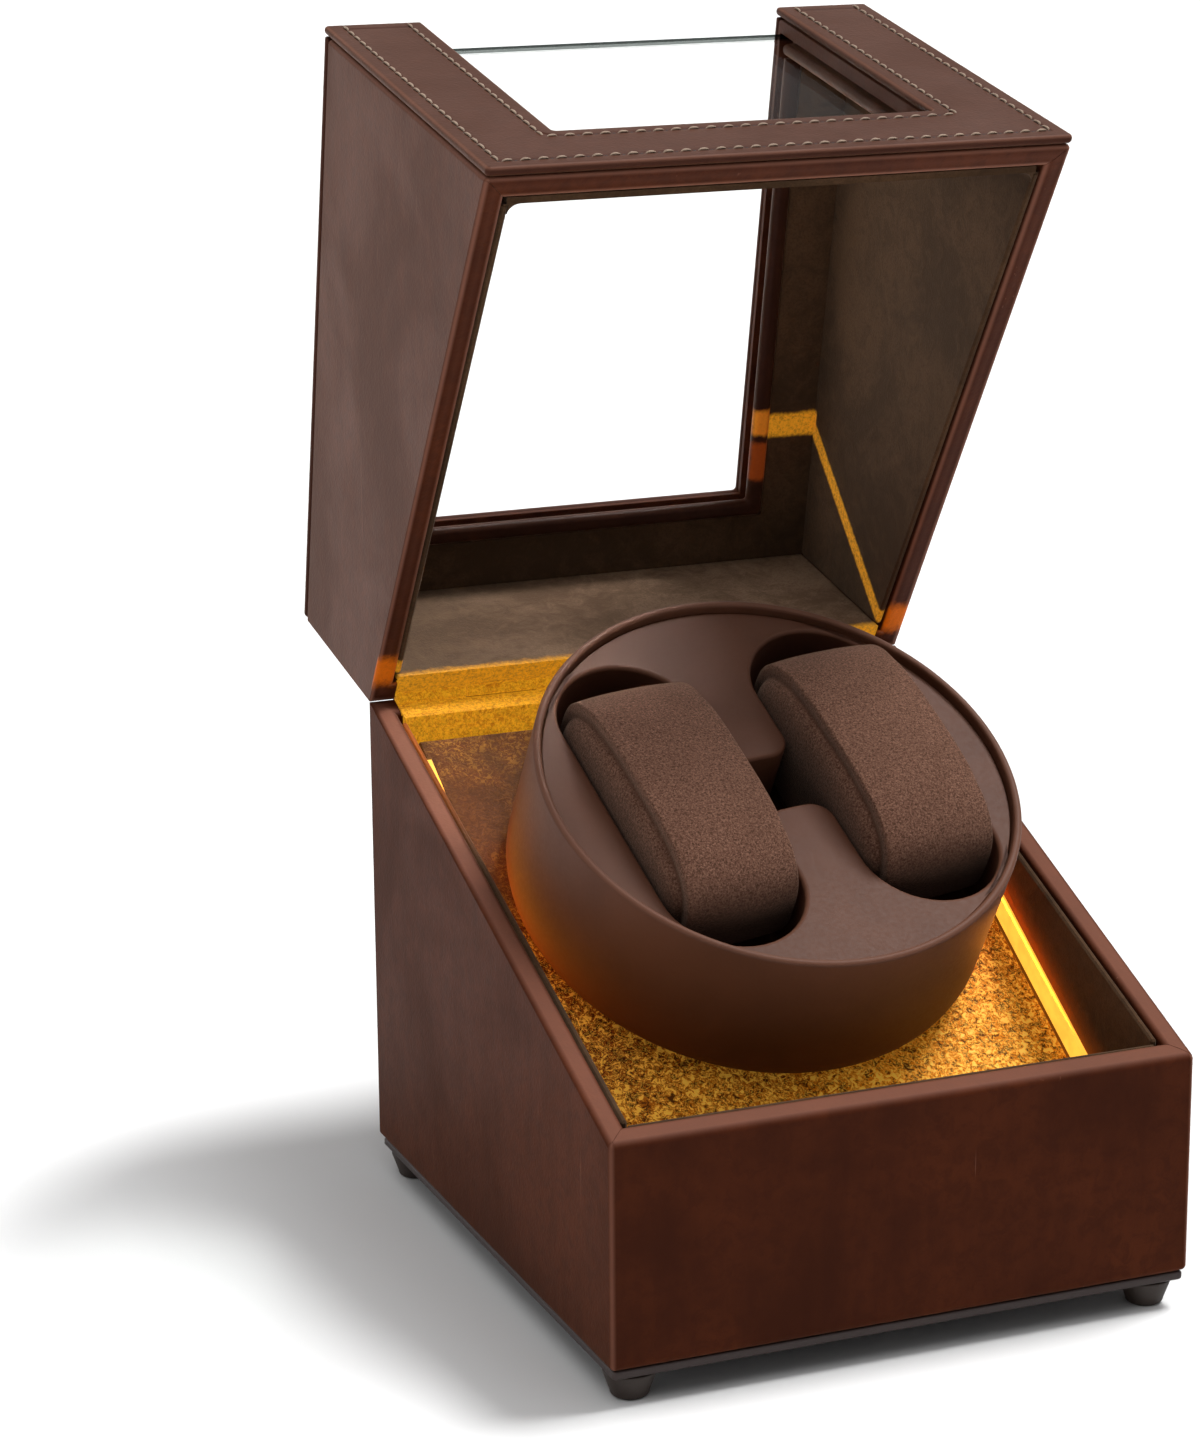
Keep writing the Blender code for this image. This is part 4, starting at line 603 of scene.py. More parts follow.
class Bench:
    """One material and the nodes that are wired into it."""

    def __init__(self, name: str) -> None:
        """Start a Principled material that reads Object coordinates."""
        self.material = bpy.data.materials.new(name)
        self.material.use_nodes = True
        self.tree = self.material.node_tree
        self.shader = self.tree.nodes["Principled BSDF"]
        self.place = self.tree.nodes.new("ShaderNodeTexCoord").outputs["Object"]

    def feed(self, socket: Socket, value: object) -> None:
        """Link a socket to another, or set its value."""
        if isinstance(value, bpy.types.NodeSocket):
            self.tree.links.new(value, socket)
        else:
            socket.default_value = value

    def add(self, kind: str, inputs: dict, **settings: object) -> bpy.types.Node:
        """A node with its settings made and its inputs fed."""
        node = self.tree.nodes.new(kind)
        for key, value in settings.items():
            setattr(node, key, value)
        for key, value in inputs.items():
            self.feed(node.inputs[key], value)
        return node

    def stretched(self, scale: Colour, angles: Colour = (0, 0, 0)) -> Socket:
        """Object coordinates, turned and then scaled along each axis."""
        inputs = {"Vector": self.place, "Scale": scale, "Rotation": angles}
        return self.add("ShaderNodeMapping", inputs).outputs[0]

    def noise(
        self,
        scale: float,
        detail: float = 3.0,
        roughness: float = 0.55,
        distortion: float = 0.0,
        vector: Socket | None = None,
    ) -> Socket:
        """Noise from 0 to 1, with that many features to a metre."""
        inputs = {
            "Vector": vector or self.place,
            "Scale": scale,
            "Detail": detail,
            "Roughness": roughness,
            "Distortion": distortion,
        }
        return self.add("ShaderNodeTexNoise", inputs).outputs["Fac"]

    def cells(self, scale: float) -> Socket:
        """Distance in a smooth Voronoi pattern, with that many cells to a metre."""
        inputs = {"Vector": self.place, "Scale": scale}
        return self.add("ShaderNodeTexVoronoi", inputs, feature="SMOOTH_F1").outputs["Distance"]

    def math(self, operation: str, *values: object) -> Socket:
        """A sum of two or three numbers."""
        return self.add("ShaderNodeMath", dict(enumerate(values)), operation=operation).outputs[0]

    def times(self, first: object, second: object) -> Socket:
        """The product of two numbers."""
        return self.math("MULTIPLY", first, second)

    def ramp(self, value: Socket, low: float, high: float, start: float = 0.0, end: float = 1.0) -> Socket:
        """A smooth step of a number from low to high, turned into start to end."""
        inputs = {0: value, 1: low, 2: high, 3: start, 4: end}
        return self.add("ShaderNodeMapRange", inputs, interpolation_type="SMOOTHSTEP").outputs[0]

    def mix(self, factor: object, first: object, second: object, blend: str = "MIX") -> Socket:
        """A mix of two colours."""
        first = (*first, 1) if isinstance(first, tuple) else first
        second = (*second, 1) if isinstance(second, tuple) else second
        inputs = {0: factor, 6: first, 7: second}
        return self.add("ShaderNodeMix", inputs, data_type="RGBA", blend_type=blend).outputs[2]

    def plane(self, normal: Array, point: Array) -> Socket:
        """Distance in metres from a plane, along its normal."""
        inputs = {0: self.place, 1: tuple(normal)}
        along = self.add("ShaderNodeVectorMath", inputs, operation="DOT_PRODUCT").outputs["Value"]
        return self.math("SUBTRACT", along, float(np.dot(normal, point)))

    def seen_white(self) -> Socket:
        """1 for what the camera, a reflection or the glass sees, and 0 for light that falls on the winder."""
        path = self.add("ShaderNodeLightPath", {}).outputs
        first = self.math("MAXIMUM", path["Is Camera Ray"], path["Is Glossy Ray"])
        return self.math("MAXIMUM", first, path["Is Transmission Ray"])

    def worn(self) -> Socket:
        """How much scuffing and painted light the surface carries, from the piece's own attribute: paler on scuffed
        and highlit edges, darker in shaded seams.
        """
        return self.add("ShaderNodeAttribute", {}, attribute_name="worn").outputs["Fac"]

    def bump(self, height: Socket, depth: float, strength: float = 1.0, under: Socket | None = None) -> Socket:
        """A bump of that depth in metres, on top of another."""
        inputs = {"Height": height, "Distance": depth, "Strength": strength}
        if under:
            inputs["Normal"] = under
        return self.add("ShaderNodeBump", inputs).outputs[0]

    def blend(self, first: Socket, weight: float, second: Socket) -> Socket:
        """A weighted sum of two numbers, whose weights make one."""
        return self.math("ADD", self.times(first, weight), self.times(second, round(1 - weight, 6)))

    def surface(self, kind: str, first: object, second: Socket) -> None:
        """Send two shaders, mixed or added, to the material's surface.

        Args:
            kind: MixShader or AddShader.
            first: The mix's factor, or nothing for an addition.
            second: The shader that joins the Principled one.
        """
        own = self.shader.outputs[0]
        inputs = {0: own, 1: second} if first is None else {0: first, 1: own, 2: second}
        both = self.add(f"ShaderNode{kind}", inputs).outputs[0]
        self.tree.links.new(both, self.tree.nodes["Material Output"].inputs["Surface"])

    def finish(self, **inputs: object) -> bpy.types.Material:
        """Feed the shader's inputs, named with _ for a space, and give the material."""
        for name, value in inputs.items():
            if isinstance(value, tuple) and len(value) == 3:
                value = (*value, 1)
            self.feed(self.shader.inputs[name.replace("_", " ")], value)
        return self.material


def srgb(code: str) -> Colour:
    """A linear colour from its display code: ((c + 0.055) / 1.055) to the 2.4, or c / 12.92 when dark."""
    parts = [int(code[i : i + 2], 16) / 255 for i in (0, 2, 4)]
    return tuple(c / 12.92 if c <= 0.04045 else ((c + 0.055) / 1.055) ** 2.4 for c in parts)


@dataclass(frozen=True)
class Band:
    """The space within a distance of a plane: full up to near and gone at far."""

    normal: Array
    point: Array
    near: float
    far: float
    both_sides: bool = True
    ragged: float = 1.0

    def factor(self, bench: Bench) -> Socket:
        """1 in the band and 0 outside it, with a ragged edge."""
        away = bench.plane(self.normal, self.point)
        if self.both_sides:
            away = bench.math("ABSOLUTE", away)
        edge = bench.times(bench.noise(420, 3, 0.7), (self.far - self.near) * self.ragged)
        return bench.ramp(bench.math("ADD", away, edge), self.near, self.far, 1.0, 0.0)


@dataclass(frozen=True)
class Glow:
    """Amber light caught where some bands overlap."""

    bands: tuple[Band, ...]
    strength: float = 0.30
    colour: Colour = srgb("e8a526")
    least: float = 0.62
    body: float = 1.0

    def amount(self, bench: Bench) -> Socket:
        """How much light is caught, broken up by the nap."""
        amount = bench.ramp(bench.noise(1100, 4, 0.75, 0.4), 0.30, 0.62, self.least, 1.0)
        for band in self.bands:
            amount = bench.times(amount, band.factor(bench))
        return amount


def lit(
    bench: Bench,
    glows: tuple[Glow, ...],
    colour: Socket,
    fold: Socket | None = None,
    crease: Colour = (0.0, 0.0, 0.0),
) -> tuple[Socket, dict[str, object]]:
    """Lay glows over a colour.

    Args:
        bench: The material's nodes.
        glows: The glows, which share the first one's colour for their emission.
        colour: The colour below them.
        fold: How deep in a crease a point lies, if the nap is creased.
        crease: The colour of the light in a crease.

    Returns:
        The new colour, and the shader's emission inputs.
    """
    if not glows:
        return colour, {}
    total: Socket | None = None
    for glow in glows:
        amount = glow.amount(bench)
        body = tuple(channel * glow.body for channel in glow.colour)
        colour = bench.mix(amount, colour, body if fold is None else bench.mix(fold, body, crease))
        total = amount if total is None else bench.math("MAXIMUM", total, amount)
    light = glows[0].colour if fold is None else bench.mix(fold, glows[0].colour, crease)
    shine = bench.mix(total, (0.0, 0.0, 0.0), light)
    return colour, {"Emission_Color": shine, "Emission_Strength": glows[0].strength}


@dataclass(frozen=True)
class Leather:
    """Smooth brown leather with faintly cloudy colour, fine pores, hairline scratches, and rims and rounded edges
    made paler by scuffing and a painted highlight.
    """

    name: str
    slot: str
    colour: Colour
    deep: Colour
    wear_and_light: Colour
    roughness: float = 0.50
    grain: float = 1.0
    bloom: float = 0.16
    gloss: float = 0.05
    glows: tuple[Glow, ...] = ()

    def material(self) -> bpy.types.Material:
        """Wire the leather's material."""
        bench = Bench(self.name)
        cloud = bench.noise(20, 4, 0.6, 0.5)
        streak = bench.noise(1, 3, 0.6, 0.2, bench.stretched((150, 150, 34)))
        tone = bench.blend(cloud, 0.72, streak)
        colour = bench.mix(bench.ramp(tone, 0.32, 0.70), self.deep, self.colour)
        mottle = bench.ramp(bench.noise(240, 4, 0.7, 0.6), 0.42, 0.66, 0.0, 0.55)
        colour = bench.mix(mottle, colour, self.deep)
        scratch = bench.noise(1, 2, 0.5, 0.0, bench.stretched((900, 900, 24), (0.35, 0.5, 0.2)))
        patch = bench.ramp(bench.noise(24, 1), 0.56, 0.66)
        hair = bench.times(bench.ramp(scratch, 0.71, 0.76), patch)
        colour = bench.mix(bench.times(hair, 0.35), colour, self.wear_and_light)
        # Paler where the attribute marks wear and a painted highlight, on rims and rounded edges.
        colour = bench.mix(bench.times(bench.worn(), 0.55), colour, self.wear_and_light)
        pores = bench.cells(1300)
        wrinkle = bench.noise(420, 4, 0.65, 0.5)
        sag = bench.noise(45, 2, 0.4)
        normal = bench.bump(sag, 0.8 * MM, 0.25)
        normal = bench.bump(wrinkle, 0.16 * MM, 0.32 * self.grain, normal)
        normal = bench.bump(pores, 0.10 * MM, 0.40 * self.grain, normal)
        rough = bench.ramp(cloud, 0.3, 0.7, self.roughness + 0.05, self.roughness - 0.05)
        colour, glow = lit(bench, self.glows, colour)
        return bench.finish(
            Base_Color=colour,
            Roughness=rough,
            Normal=normal,
            Specular_IOR_Level=self.gloss,
            Sheen_Weight=self.bloom,
            Sheen_Roughness=0.42,
            Sheen_Tint=(1.0, 0.52, 0.30),
            **glow,
        )


@dataclass(frozen=True)
class Suede:
    """Brown suede: a fine brushed nap with cloudy patches, and amber light where it falls."""

    name: str
    slot: str
    colour: Colour
    deep: Colour
    nap: float = 1.0
    crinkle: float = 0.0
    glows: tuple[Glow, ...] = ()
    fold: Colour = srgb("a05c0c")
    shade: tuple[Band, ...] = ()
    shadow: Colour = srgb("33261a")
    shadow_share: float = 0.8

    def material(self) -> bpy.types.Material:
        """Wire the suede's material."""
        bench = Bench(self.name)
        cloud = bench.noise(26, 5, 0.62, 0.7)
        brush = bench.noise(150, 4, 0.7, 1.2)
        tone = bench.blend(cloud, 0.6, brush)
        colour = bench.mix(bench.ramp(tone, 0.38, 0.62), self.deep, self.colour)
        for band in self.shade:
            dim = bench.times(band.factor(bench), self.shadow_share)
            colour = bench.mix(dim, colour, self.shadow)
        speck = bench.noise(1500, 3, 0.7, 0.5)
        colour = bench.mix(bench.ramp(speck, 0.40, 0.68, 0.0, 0.6), colour, self.deep)
        normal = bench.bump(brush, 0.35 * MM, 0.35 * self.nap)
        normal = bench.bump(speck, 0.16 * MM, 0.8 * self.nap, normal)
        fold: Socket | None = None
        if self.crinkle:
            creases = bench.noise(880, 3, 0.6, 1.4)
            fold = bench.ramp(creases, 0.38, 0.54, 0.75, 0.0)
            normal = bench.bump(creases, self.crinkle, 0.6, normal)
        colour, glow = lit(bench, self.glows, colour, fold, self.fold)
        return bench.finish(
            Base_Color=colour,
            Roughness=0.95,
            Normal=normal,
            Specular_IOR_Level=0.15,
            Sheen_Weight=0.12,
            Sheen_Roughness=0.45,
            Sheen_Tint=(0.9, 0.66, 0.48),
            **glow,
        )


@dataclass(frozen=True)
class AmberLitSuede:
    """The deck's crushed nap, with the strips' amber light painted on it as golden flecks, most of all in front."""

    name: str = "gilded_deck_suede"
    slot: str = "suede_deck"
    # Brown is the nap in shade; amber, gold and spark are the strips' painted light and painted glints on it; crease
    # is painted shade in its hollows.
    lit_gold: Colour = srgb("cf7812")
    spark: Colour = srgb("fbbd45")
    amber: Colour = srgb("8a4310")
    brown: Colour = srgb("44260f")
    crease: Colour = srgb("2a1305")
    side_reach: float = 62.0 * MM
    front_margin: float = 10.0 * MM
    back_margin: float = 25.0 * MM

    def material(self) -> bpy.types.Material:
        """Wire the deck's material, with the strips' light painted in: it turns from shaded brown to lit golden tones
        towards the front and the right, with painted glints on its ridges and cracks, painted shade in its dips and a
        painted glow.
        """
        bench = Bench(self.name)
        split = bench.add("ShaderNodeSeparateXYZ", {0: bench.place}).outputs
        across, back = split[0], split[1]
        near, far = PLACE.front + self.front_margin, PLACE.hinge[1] - self.back_margin
        front = bench.ramp(back, near, far, 0.72, 0.0)
        right = bench.ramp(across, -self.side_reach, self.side_reach, 0.06, 0.36)
        drift = bench.times(bench.noise(34, 3, 0.6, 0.5), 0.5)
        light = bench.math("ADD", bench.math("ADD", front, right), drift)
        colour = bench.mix(bench.ramp(light, 0.25, 0.75), self.brown, self.amber)
        colour = bench.mix(bench.ramp(light, 0.65, 1.20), colour, self.lit_gold)
        grain = bench.noise(640, 3, 0.6, 1.1)
        crack = bench.math("ABSOLUTE", bench.math("SUBTRACT", bench.noise(430, 3, 0.7, 1.6), 0.5))
        clump = bench.noise(210, 4, 0.65, 0.8)
        level = bench.blend(grain, 0.72, clump)
        # Painted raking light: where the painted light is strong, the hollows take painted shade and the peaks and
        # cracks take painted glints.
        lit_share = bench.ramp(light, 0.28, 0.80, 0.03, 1.0)
        hollow_shade = bench.ramp(level, 0.42, 0.50, 0.85, 0.0)
        gap = bench.times(hollow_shade, bench.ramp(lit_share, 0.0, 1.0, 0.25, 1.0))
        colour = bench.mix(gap, colour, self.crease)
        peak_glint, crack_glint = bench.ramp(level, 0.53, 0.58), bench.ramp(crack, 0.006, 0.03, 0.9, 0.0)
        spark = bench.math("MAXIMUM", peak_glint, crack_glint)
        spark = bench.times(spark, lit_share)
        colour = bench.mix(spark, colour, self.spark)
        normal = bench.bump(clump, 0.9 * MM, 0.5)
        normal = bench.bump(grain, 0.45 * MM, 0.9, normal)
        return bench.finish(
            Base_Color=colour,
            Roughness=bench.ramp(spark, 0.0, 1.0, 0.7, 0.4),
            Normal=normal,
            Specular_IOR_Level=0.10,
            # Painted glow: the nap gives off its own colour as far as the painted light reaches.
            Emission_Color=bench.mix(bench.times(light, 0.7), (0.0, 0.0, 0.0), colour),
            Emission_Strength=0.30,
        )


@dataclass(frozen=True)
class Moulded:
    """Plain moulded or painted stuff: a slight mottle, a fine texture and a given gloss."""

    name: str
    slot: str
    colour: Colour
    roughness: float = 0.45
    metallic: float = 0.0
    texture: float = 900.0
    depth: float = 0.03 * MM
    specular: float = 0.45

    def material(self) -> bpy.types.Material:
        """Wire the moulded finish."""
        bench = Bench(self.name)
        mottle = bench.ramp(bench.noise(28, 3, 0.6), 0.3, 0.7, 0.86, 1.08)
        shade = bench.add("ShaderNodeCombineColor", {0: mottle, 1: mottle, 2: mottle}).outputs[0]
        colour = bench.mix(1.0, self.colour, shade, "MULTIPLY")
        # Paler where the attribute marks wear and a painted highlight, such as the drum's lip and rounded edges.
        wear_and_light = tuple(min(1.0, c * 1.7 + 0.02) for c in self.colour)
        colour = bench.mix(bench.times(bench.worn(), 0.3), colour, wear_and_light)
        fine = bench.noise(self.texture, 3, 0.6)
        normal = bench.bump(fine, self.depth, 0.5)
        rough = bench.ramp(fine, 0.2, 0.8, self.roughness - 0.04, self.roughness + 0.05)
        return bench.finish(
            Base_Color=colour,
            Roughness=rough,
            Metallic=self.metallic,
            Normal=normal,
            Specular_IOR_Level=self.specular,
        )


@dataclass(frozen=True)
class LightStrip:
    """A diffuser lit from within by a row of small lights."""

    name: str = "light_diffuser_look"
    slot: str = "light_diffuser"
    colour: Colour = (1.0, 0.50, 0.05)
    cover: Colour = (0.42, 0.22, 0.04)
    strength: float = 1.25

    def material(self) -> bpy.types.Material:
        """Wire the diffuser's material."""
        bench = Bench(self.name)
        dots = bench.ramp(bench.noise(260, 2, 0.5), 0.3, 0.7, 0.84, 1.0)
        light = bench.mix(dots, (0.0, 0.0, 0.0), self.colour)
        return bench.finish(
            Base_Color=self.cover,
            Roughness=0.6,
            Specular_IOR_Level=0.1,
            Emission_Color=light,
            Emission_Strength=self.strength,
        )


@dataclass(frozen=True)
class Brushed:
    """Metal with fine brush marks along one axis."""

    name: str
    slot: str
    colour: Colour
    roughness: float = 0.32
    scale: Colour = (120.0, 2600.0, 2600.0)

    def material(self) -> bpy.types.Material:
        """Wire the brushed metal."""
        bench = Bench(self.name)
        marks = bench.noise(1, 4, 0.7, 0.0, bench.stretched(self.scale))
        dull = bench.noise(60, 3, 0.6)
        dark = tuple(c * 0.7 for c in self.colour)
        colour = bench.mix(bench.ramp(dull, 0.3, 0.7), dark, self.colour)
        rough = bench.ramp(marks, 0.2, 0.8, self.roughness - 0.06, self.roughness + 0.12)
        normal = bench.bump(marks, 0.02 * MM, 0.5)
        return bench.finish(Base_Color=colour, Roughness=rough, Metallic=1.0, Normal=normal)


@dataclass(frozen=True)
class ClearGlass:
    """Clear glass with a faint green body, a trace of dust, painted shade along the edges where the panes meet, and a
    clear shadow.
    """

    name: str = "window_glass"
    slot: str = "glass"
    edge: Colour = (0.04, 0.05, 0.045)
    edge_from: float = 5.9 * MM
    edge_width: float = 0.4 * MM
    body: Colour = (0.985, 0.995, 0.99)
    shadow: tuple[float, ...] = (0.93, 0.95, 0.94, 1.0)

    def material(self) -> bpy.types.Material:
        """Wire the glass."""
        bench = Bench(self.name)
        dust = bench.ramp(bench.noise(70, 4, 0.7), 0.55, 0.9, 0.0, 0.03)
        # Painted shade: the glass darkens to the edge colour near the corner where the front and top panes meet, in
        # place of the dark of their edges.
        meet = PLACE.lid @ np.array([0, CASE.board_front, CASE.board_top, 1.0])
        towards = PLACE.lid[:3, :3] @ (np.array([0, -1.0, 1.0]) / math.sqrt(2))
        distance = bench.plane(towards, meet[:3])
        rim = bench.ramp(distance, -self.edge_from, self.edge_width - self.edge_from)
        material = bench.finish(
            Base_Color=bench.mix(rim, self.body, self.edge),
            Roughness=dust,
            Transmission_Weight=1.0,
            IOR=1.03,
            Specular_IOR_Level=0.4,
        )
        path = bench.add("ShaderNodeLightPath", {}).outputs["Is Shadow Ray"]
        clear = bench.add("ShaderNodeBsdfTransparent", {"Color": self.shadow})
        bench.surface("MixShader", path, clear.outputs[0])
        return material


@dataclass(frozen=True)
class Microsuede:
    """Napped cushion cloth: light and dark tufts a fraction of a millimetre wide, with a soft bloom."""

    name: str
    slot: str
    colour: Colour
    deep: Colour
    pale: Colour
    shade: Colour = srgb("1c0f08")
    shaded: tuple[float, float] = (-11.0 * MM, 7.0 * MM)

    def material(self) -> bpy.types.Material:
        """Wire the cushion cloth, with painted shade in its seams and down in the pockets."""
        bench = Bench(self.name)
        tuft = bench.noise(1950, 3, 0.7, 0.6)
        brushed = bench.noise(70, 3, 0.6, 0.8)
        colour = bench.mix(bench.ramp(tuft, 0.40, 0.52), self.deep, self.colour)
        colour = bench.mix(bench.ramp(tuft, 0.54, 0.66, 0.0, 0.5), colour, self.pale)
        colour = bench.mix(bench.ramp(brushed, 0.35, 0.65, 0.0, 0.16), colour, self.deep)
        # Painted shade in the seams, which the attribute marks.
        colour = bench.mix(bench.times(bench.worn(), 0.75), colour, self.deep)
        above = bench.plane(PLACE.tilted[:3, 2], PLACE.drum_centre)
        colour = bench.mix(bench.ramp(above, *self.shaded, 0.80, 0.0), colour, self.shade)
        normal = bench.bump(brushed, 0.4 * MM, 0.25)
        normal = bench.bump(tuft, 0.30 * MM, 1.0, normal)
        return bench.finish(
            Base_Color=colour,
            Roughness=1.0,
            Normal=normal,
            Specular_IOR_Level=0.05,
            Sheen_Weight=0.22,
            Sheen_Roughness=0.5,
            Sheen_Tint=(0.80, 0.60, 0.47),
        )


class Look(Enum):
    """Every finish on the winder."""

    # CASE and LID are one leather in two copies: a shaded one on the base, with less sheen and gloss, and a lit one
    # on the lid, lighter and with more sheen. The difference between them is painted light.
    CASE = Leather(
        "case_leather_look",
        "case_leather",
        srgb("4a200d"),
        srgb("321307"),
        srgb("8f6150"),
        bloom=0.07,
        gloss=0.02,
    )
    LID = Leather(
        "lid_leather_look", "case_leather", srgb("4c2413"), srgb("34170d"), srgb("8f6150"), bloom=0.14
    )
    FRAME = Leather(
        "frame_leather_look", "frame_leather", srgb("432419"), srgb("371c13"), srgb("7c5546")
    )
    BEAD = Leather(
        "bead_leather_look", "moulding_leather", srgb("351b10"), srgb("26120a"), srgb("6a4230"), 0.42
    )
    LINING = Suede("lining_suede", "suede_lining", srgb("4d3623"), srgb("352415"))
    DECK = AmberLitSuede()
    DRUM = Moulded("drum_satin", "drum_plastic", srgb("513020"), 0.58, depth=0.012 * MM, specular=0.16)
    CUSHION = Microsuede(
        "cushion_microsuede", "pillow_suede", srgb("68483a"), srgb("462e22"), srgb("94705f")
    )
    THREAD = Moulded(
        "stitching_thread", "frame_leather", srgb("917c6a"), 0.75, texture=4200.0, depth=0.08 * MM
    )
    # The needle holes' dark colour is painted shade.
    HOLE_SHADE = Moulded("needle_holes", "frame_leather", srgb("140a06"), 0.85)
    BOARD = Moulded("board_cover", "board", srgb("241410"), 0.6, texture=1500.0, depth=0.06 * MM)
    RUBBER = Moulded("foot_rubber", "rubber", srgb("241810"), 0.62, texture=1400.0, depth=0.05 * MM)
    GLASS = ClearGlass()
    STEEL = Brushed("brushed_steel_look", "steel", (0.52, 0.50, 0.47))
    BRONZE = Brushed("brass_look", "bronze", (0.62, 0.36, 0.10), 0.42)
    MOTOR = Brushed("motor_can_look", "motor_steel", (0.42, 0.42, 0.42), 0.34)
    GEAR = Moulded("gear_acetal", "gear_plastic", srgb("d9d4c6"), 0.42)
    LIGHT = LightStrip()
    CIRCUIT = Moulded("circuit_lacquer", "circuit", srgb("245c3a"), 0.35, texture=300.0)
    BLACK = Moulded(
        "black_moulding", "black_plastic", srgb("262322"), 0.42, texture=1800.0, depth=0.04 * MM
    )
    WOOD = Moulded("batten_wood", "wood", srgb("a98358"), 0.7, texture=260.0, depth=0.1 * MM)
    CABLE = Moulded("cable_jacket", "cable", srgb("202022"), 0.5)

    def material(self) -> bpy.types.Material:
        """This finish's material, made once."""
        return bpy.data.materials.get(self.value.name) or self.value.material()


def coat(piece: bpy.types.Object, material: bpy.types.Material) -> None:
    """Give a piece one material."""
    piece.data.materials.clear()
    piece.data.materials.append(material)


def paint(node: str, material: bpy.types.Material) -> None:
    """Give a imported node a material."""
    coat(frame["nodes"][node], material)


def carry(node: str, look: Look) -> None:
    """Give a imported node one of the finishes."""
    paint(node, look.material())


def lit_lining(name: str, *glows: Glow) -> bpy.types.Material:
    """The linings' suede with light on it."""
    return replace(Look.LINING.value, name=name, glows=glows).material()


@dataclass(frozen=True)
class HingeLight:
    """The amber light round the hinge line, on what one body carries."""

    outward: Array
    fade: float = 0.4 * MM
    lip_reach: tuple[float, float] = (3.2 * MM, 4.6 * MM)
    lip_face: tuple[float, float] = (0.7 * MM, 1.3 * MM)
    patch_middle: float = 11.5 * MM
    patch_half: float = 9.5 * MM
    patch_fade: float = 4.5 * MM

    def inside(self, reach: float) -> Band:
        """The space inside the winder, up to a distance past the hinge line."""
        return Band(self.outward, PLACE.hinge, reach - self.fade, reach, False, 0.0)

    def suede(self, name: str, reach: float) -> bpy.types.Material:
        """Creased suede that the strips light up to a distance past the hinge line, and brown behind it."""
        glows = (Glow((self.inside(reach),), 0.62, srgb("f0a81f"), body=0.4),)
        brown, deep = srgb("48230f"), srgb("30160a")
        return Suede(name, "suede_lining", brown, deep, 1.0, 0.5 * MM, glows).material()

    def on_lip(self) -> tuple[Glow, ...]:
        """The light on a lip: a patch at each end of the lid's one, and a line inside along the hinge."""
        across = Band(RIGHT, np.zeros(3), CASE_LINER_HALF, CASE_LINER_HALF + self.fade)
        depth = Band(BACK, PLACE.hinge, *self.lip_reach)
        height = Band(UP, PLACE.hinge, *self.lip_reach)
        above = PLACE.lid[:3, :3] @ CASE.off_seam
        along = PLACE.lid[:3, :3] @ CASE.down_seam
        face = Band(above, PLACE.hinge, *self.lip_face)
        middle = PLACE.hinge + along * self.patch_middle
        patch = Band(along, middle, self.patch_half - self.patch_fade, self.patch_half)
        return (
            Glow((face, patch), 0.26, srgb("c4600c"), 0.78, 0.9),
            Glow((across, depth, height, self.inside(-self.fade)), colour=srgb("d8901c")),
        )

    def leather(self, look: Look) -> bpy.types.Material:
        """A leather with the light on its lips."""
        return replace(look.value, name=f"lipped_{look.value.name}", glows=self.on_lip()).material()


BASE_LIGHT = HingeLight(BACK)
LID_LIGHT = HingeLight(PLACE.lid[:3, 1])


def dress(piece: bpy.types.Object, look: Look, body: str, *nodes: str) -> bpy.types.Object:
    """Give a new piece its finish, its body and the nodes that it stands for.

    Args:
        piece: The piece.
        look: Its finish.
        body: The body that it moves with.
        nodes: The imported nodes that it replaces.

    Returns:
        The piece.
    """
    coat(piece, look.material())
    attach(piece, body)
    if nodes:
        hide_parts(*nodes)
    LOG.info("%s: %d faces, on %s", piece.name, len(piece.data.polygons), body)
    return piece


# Base


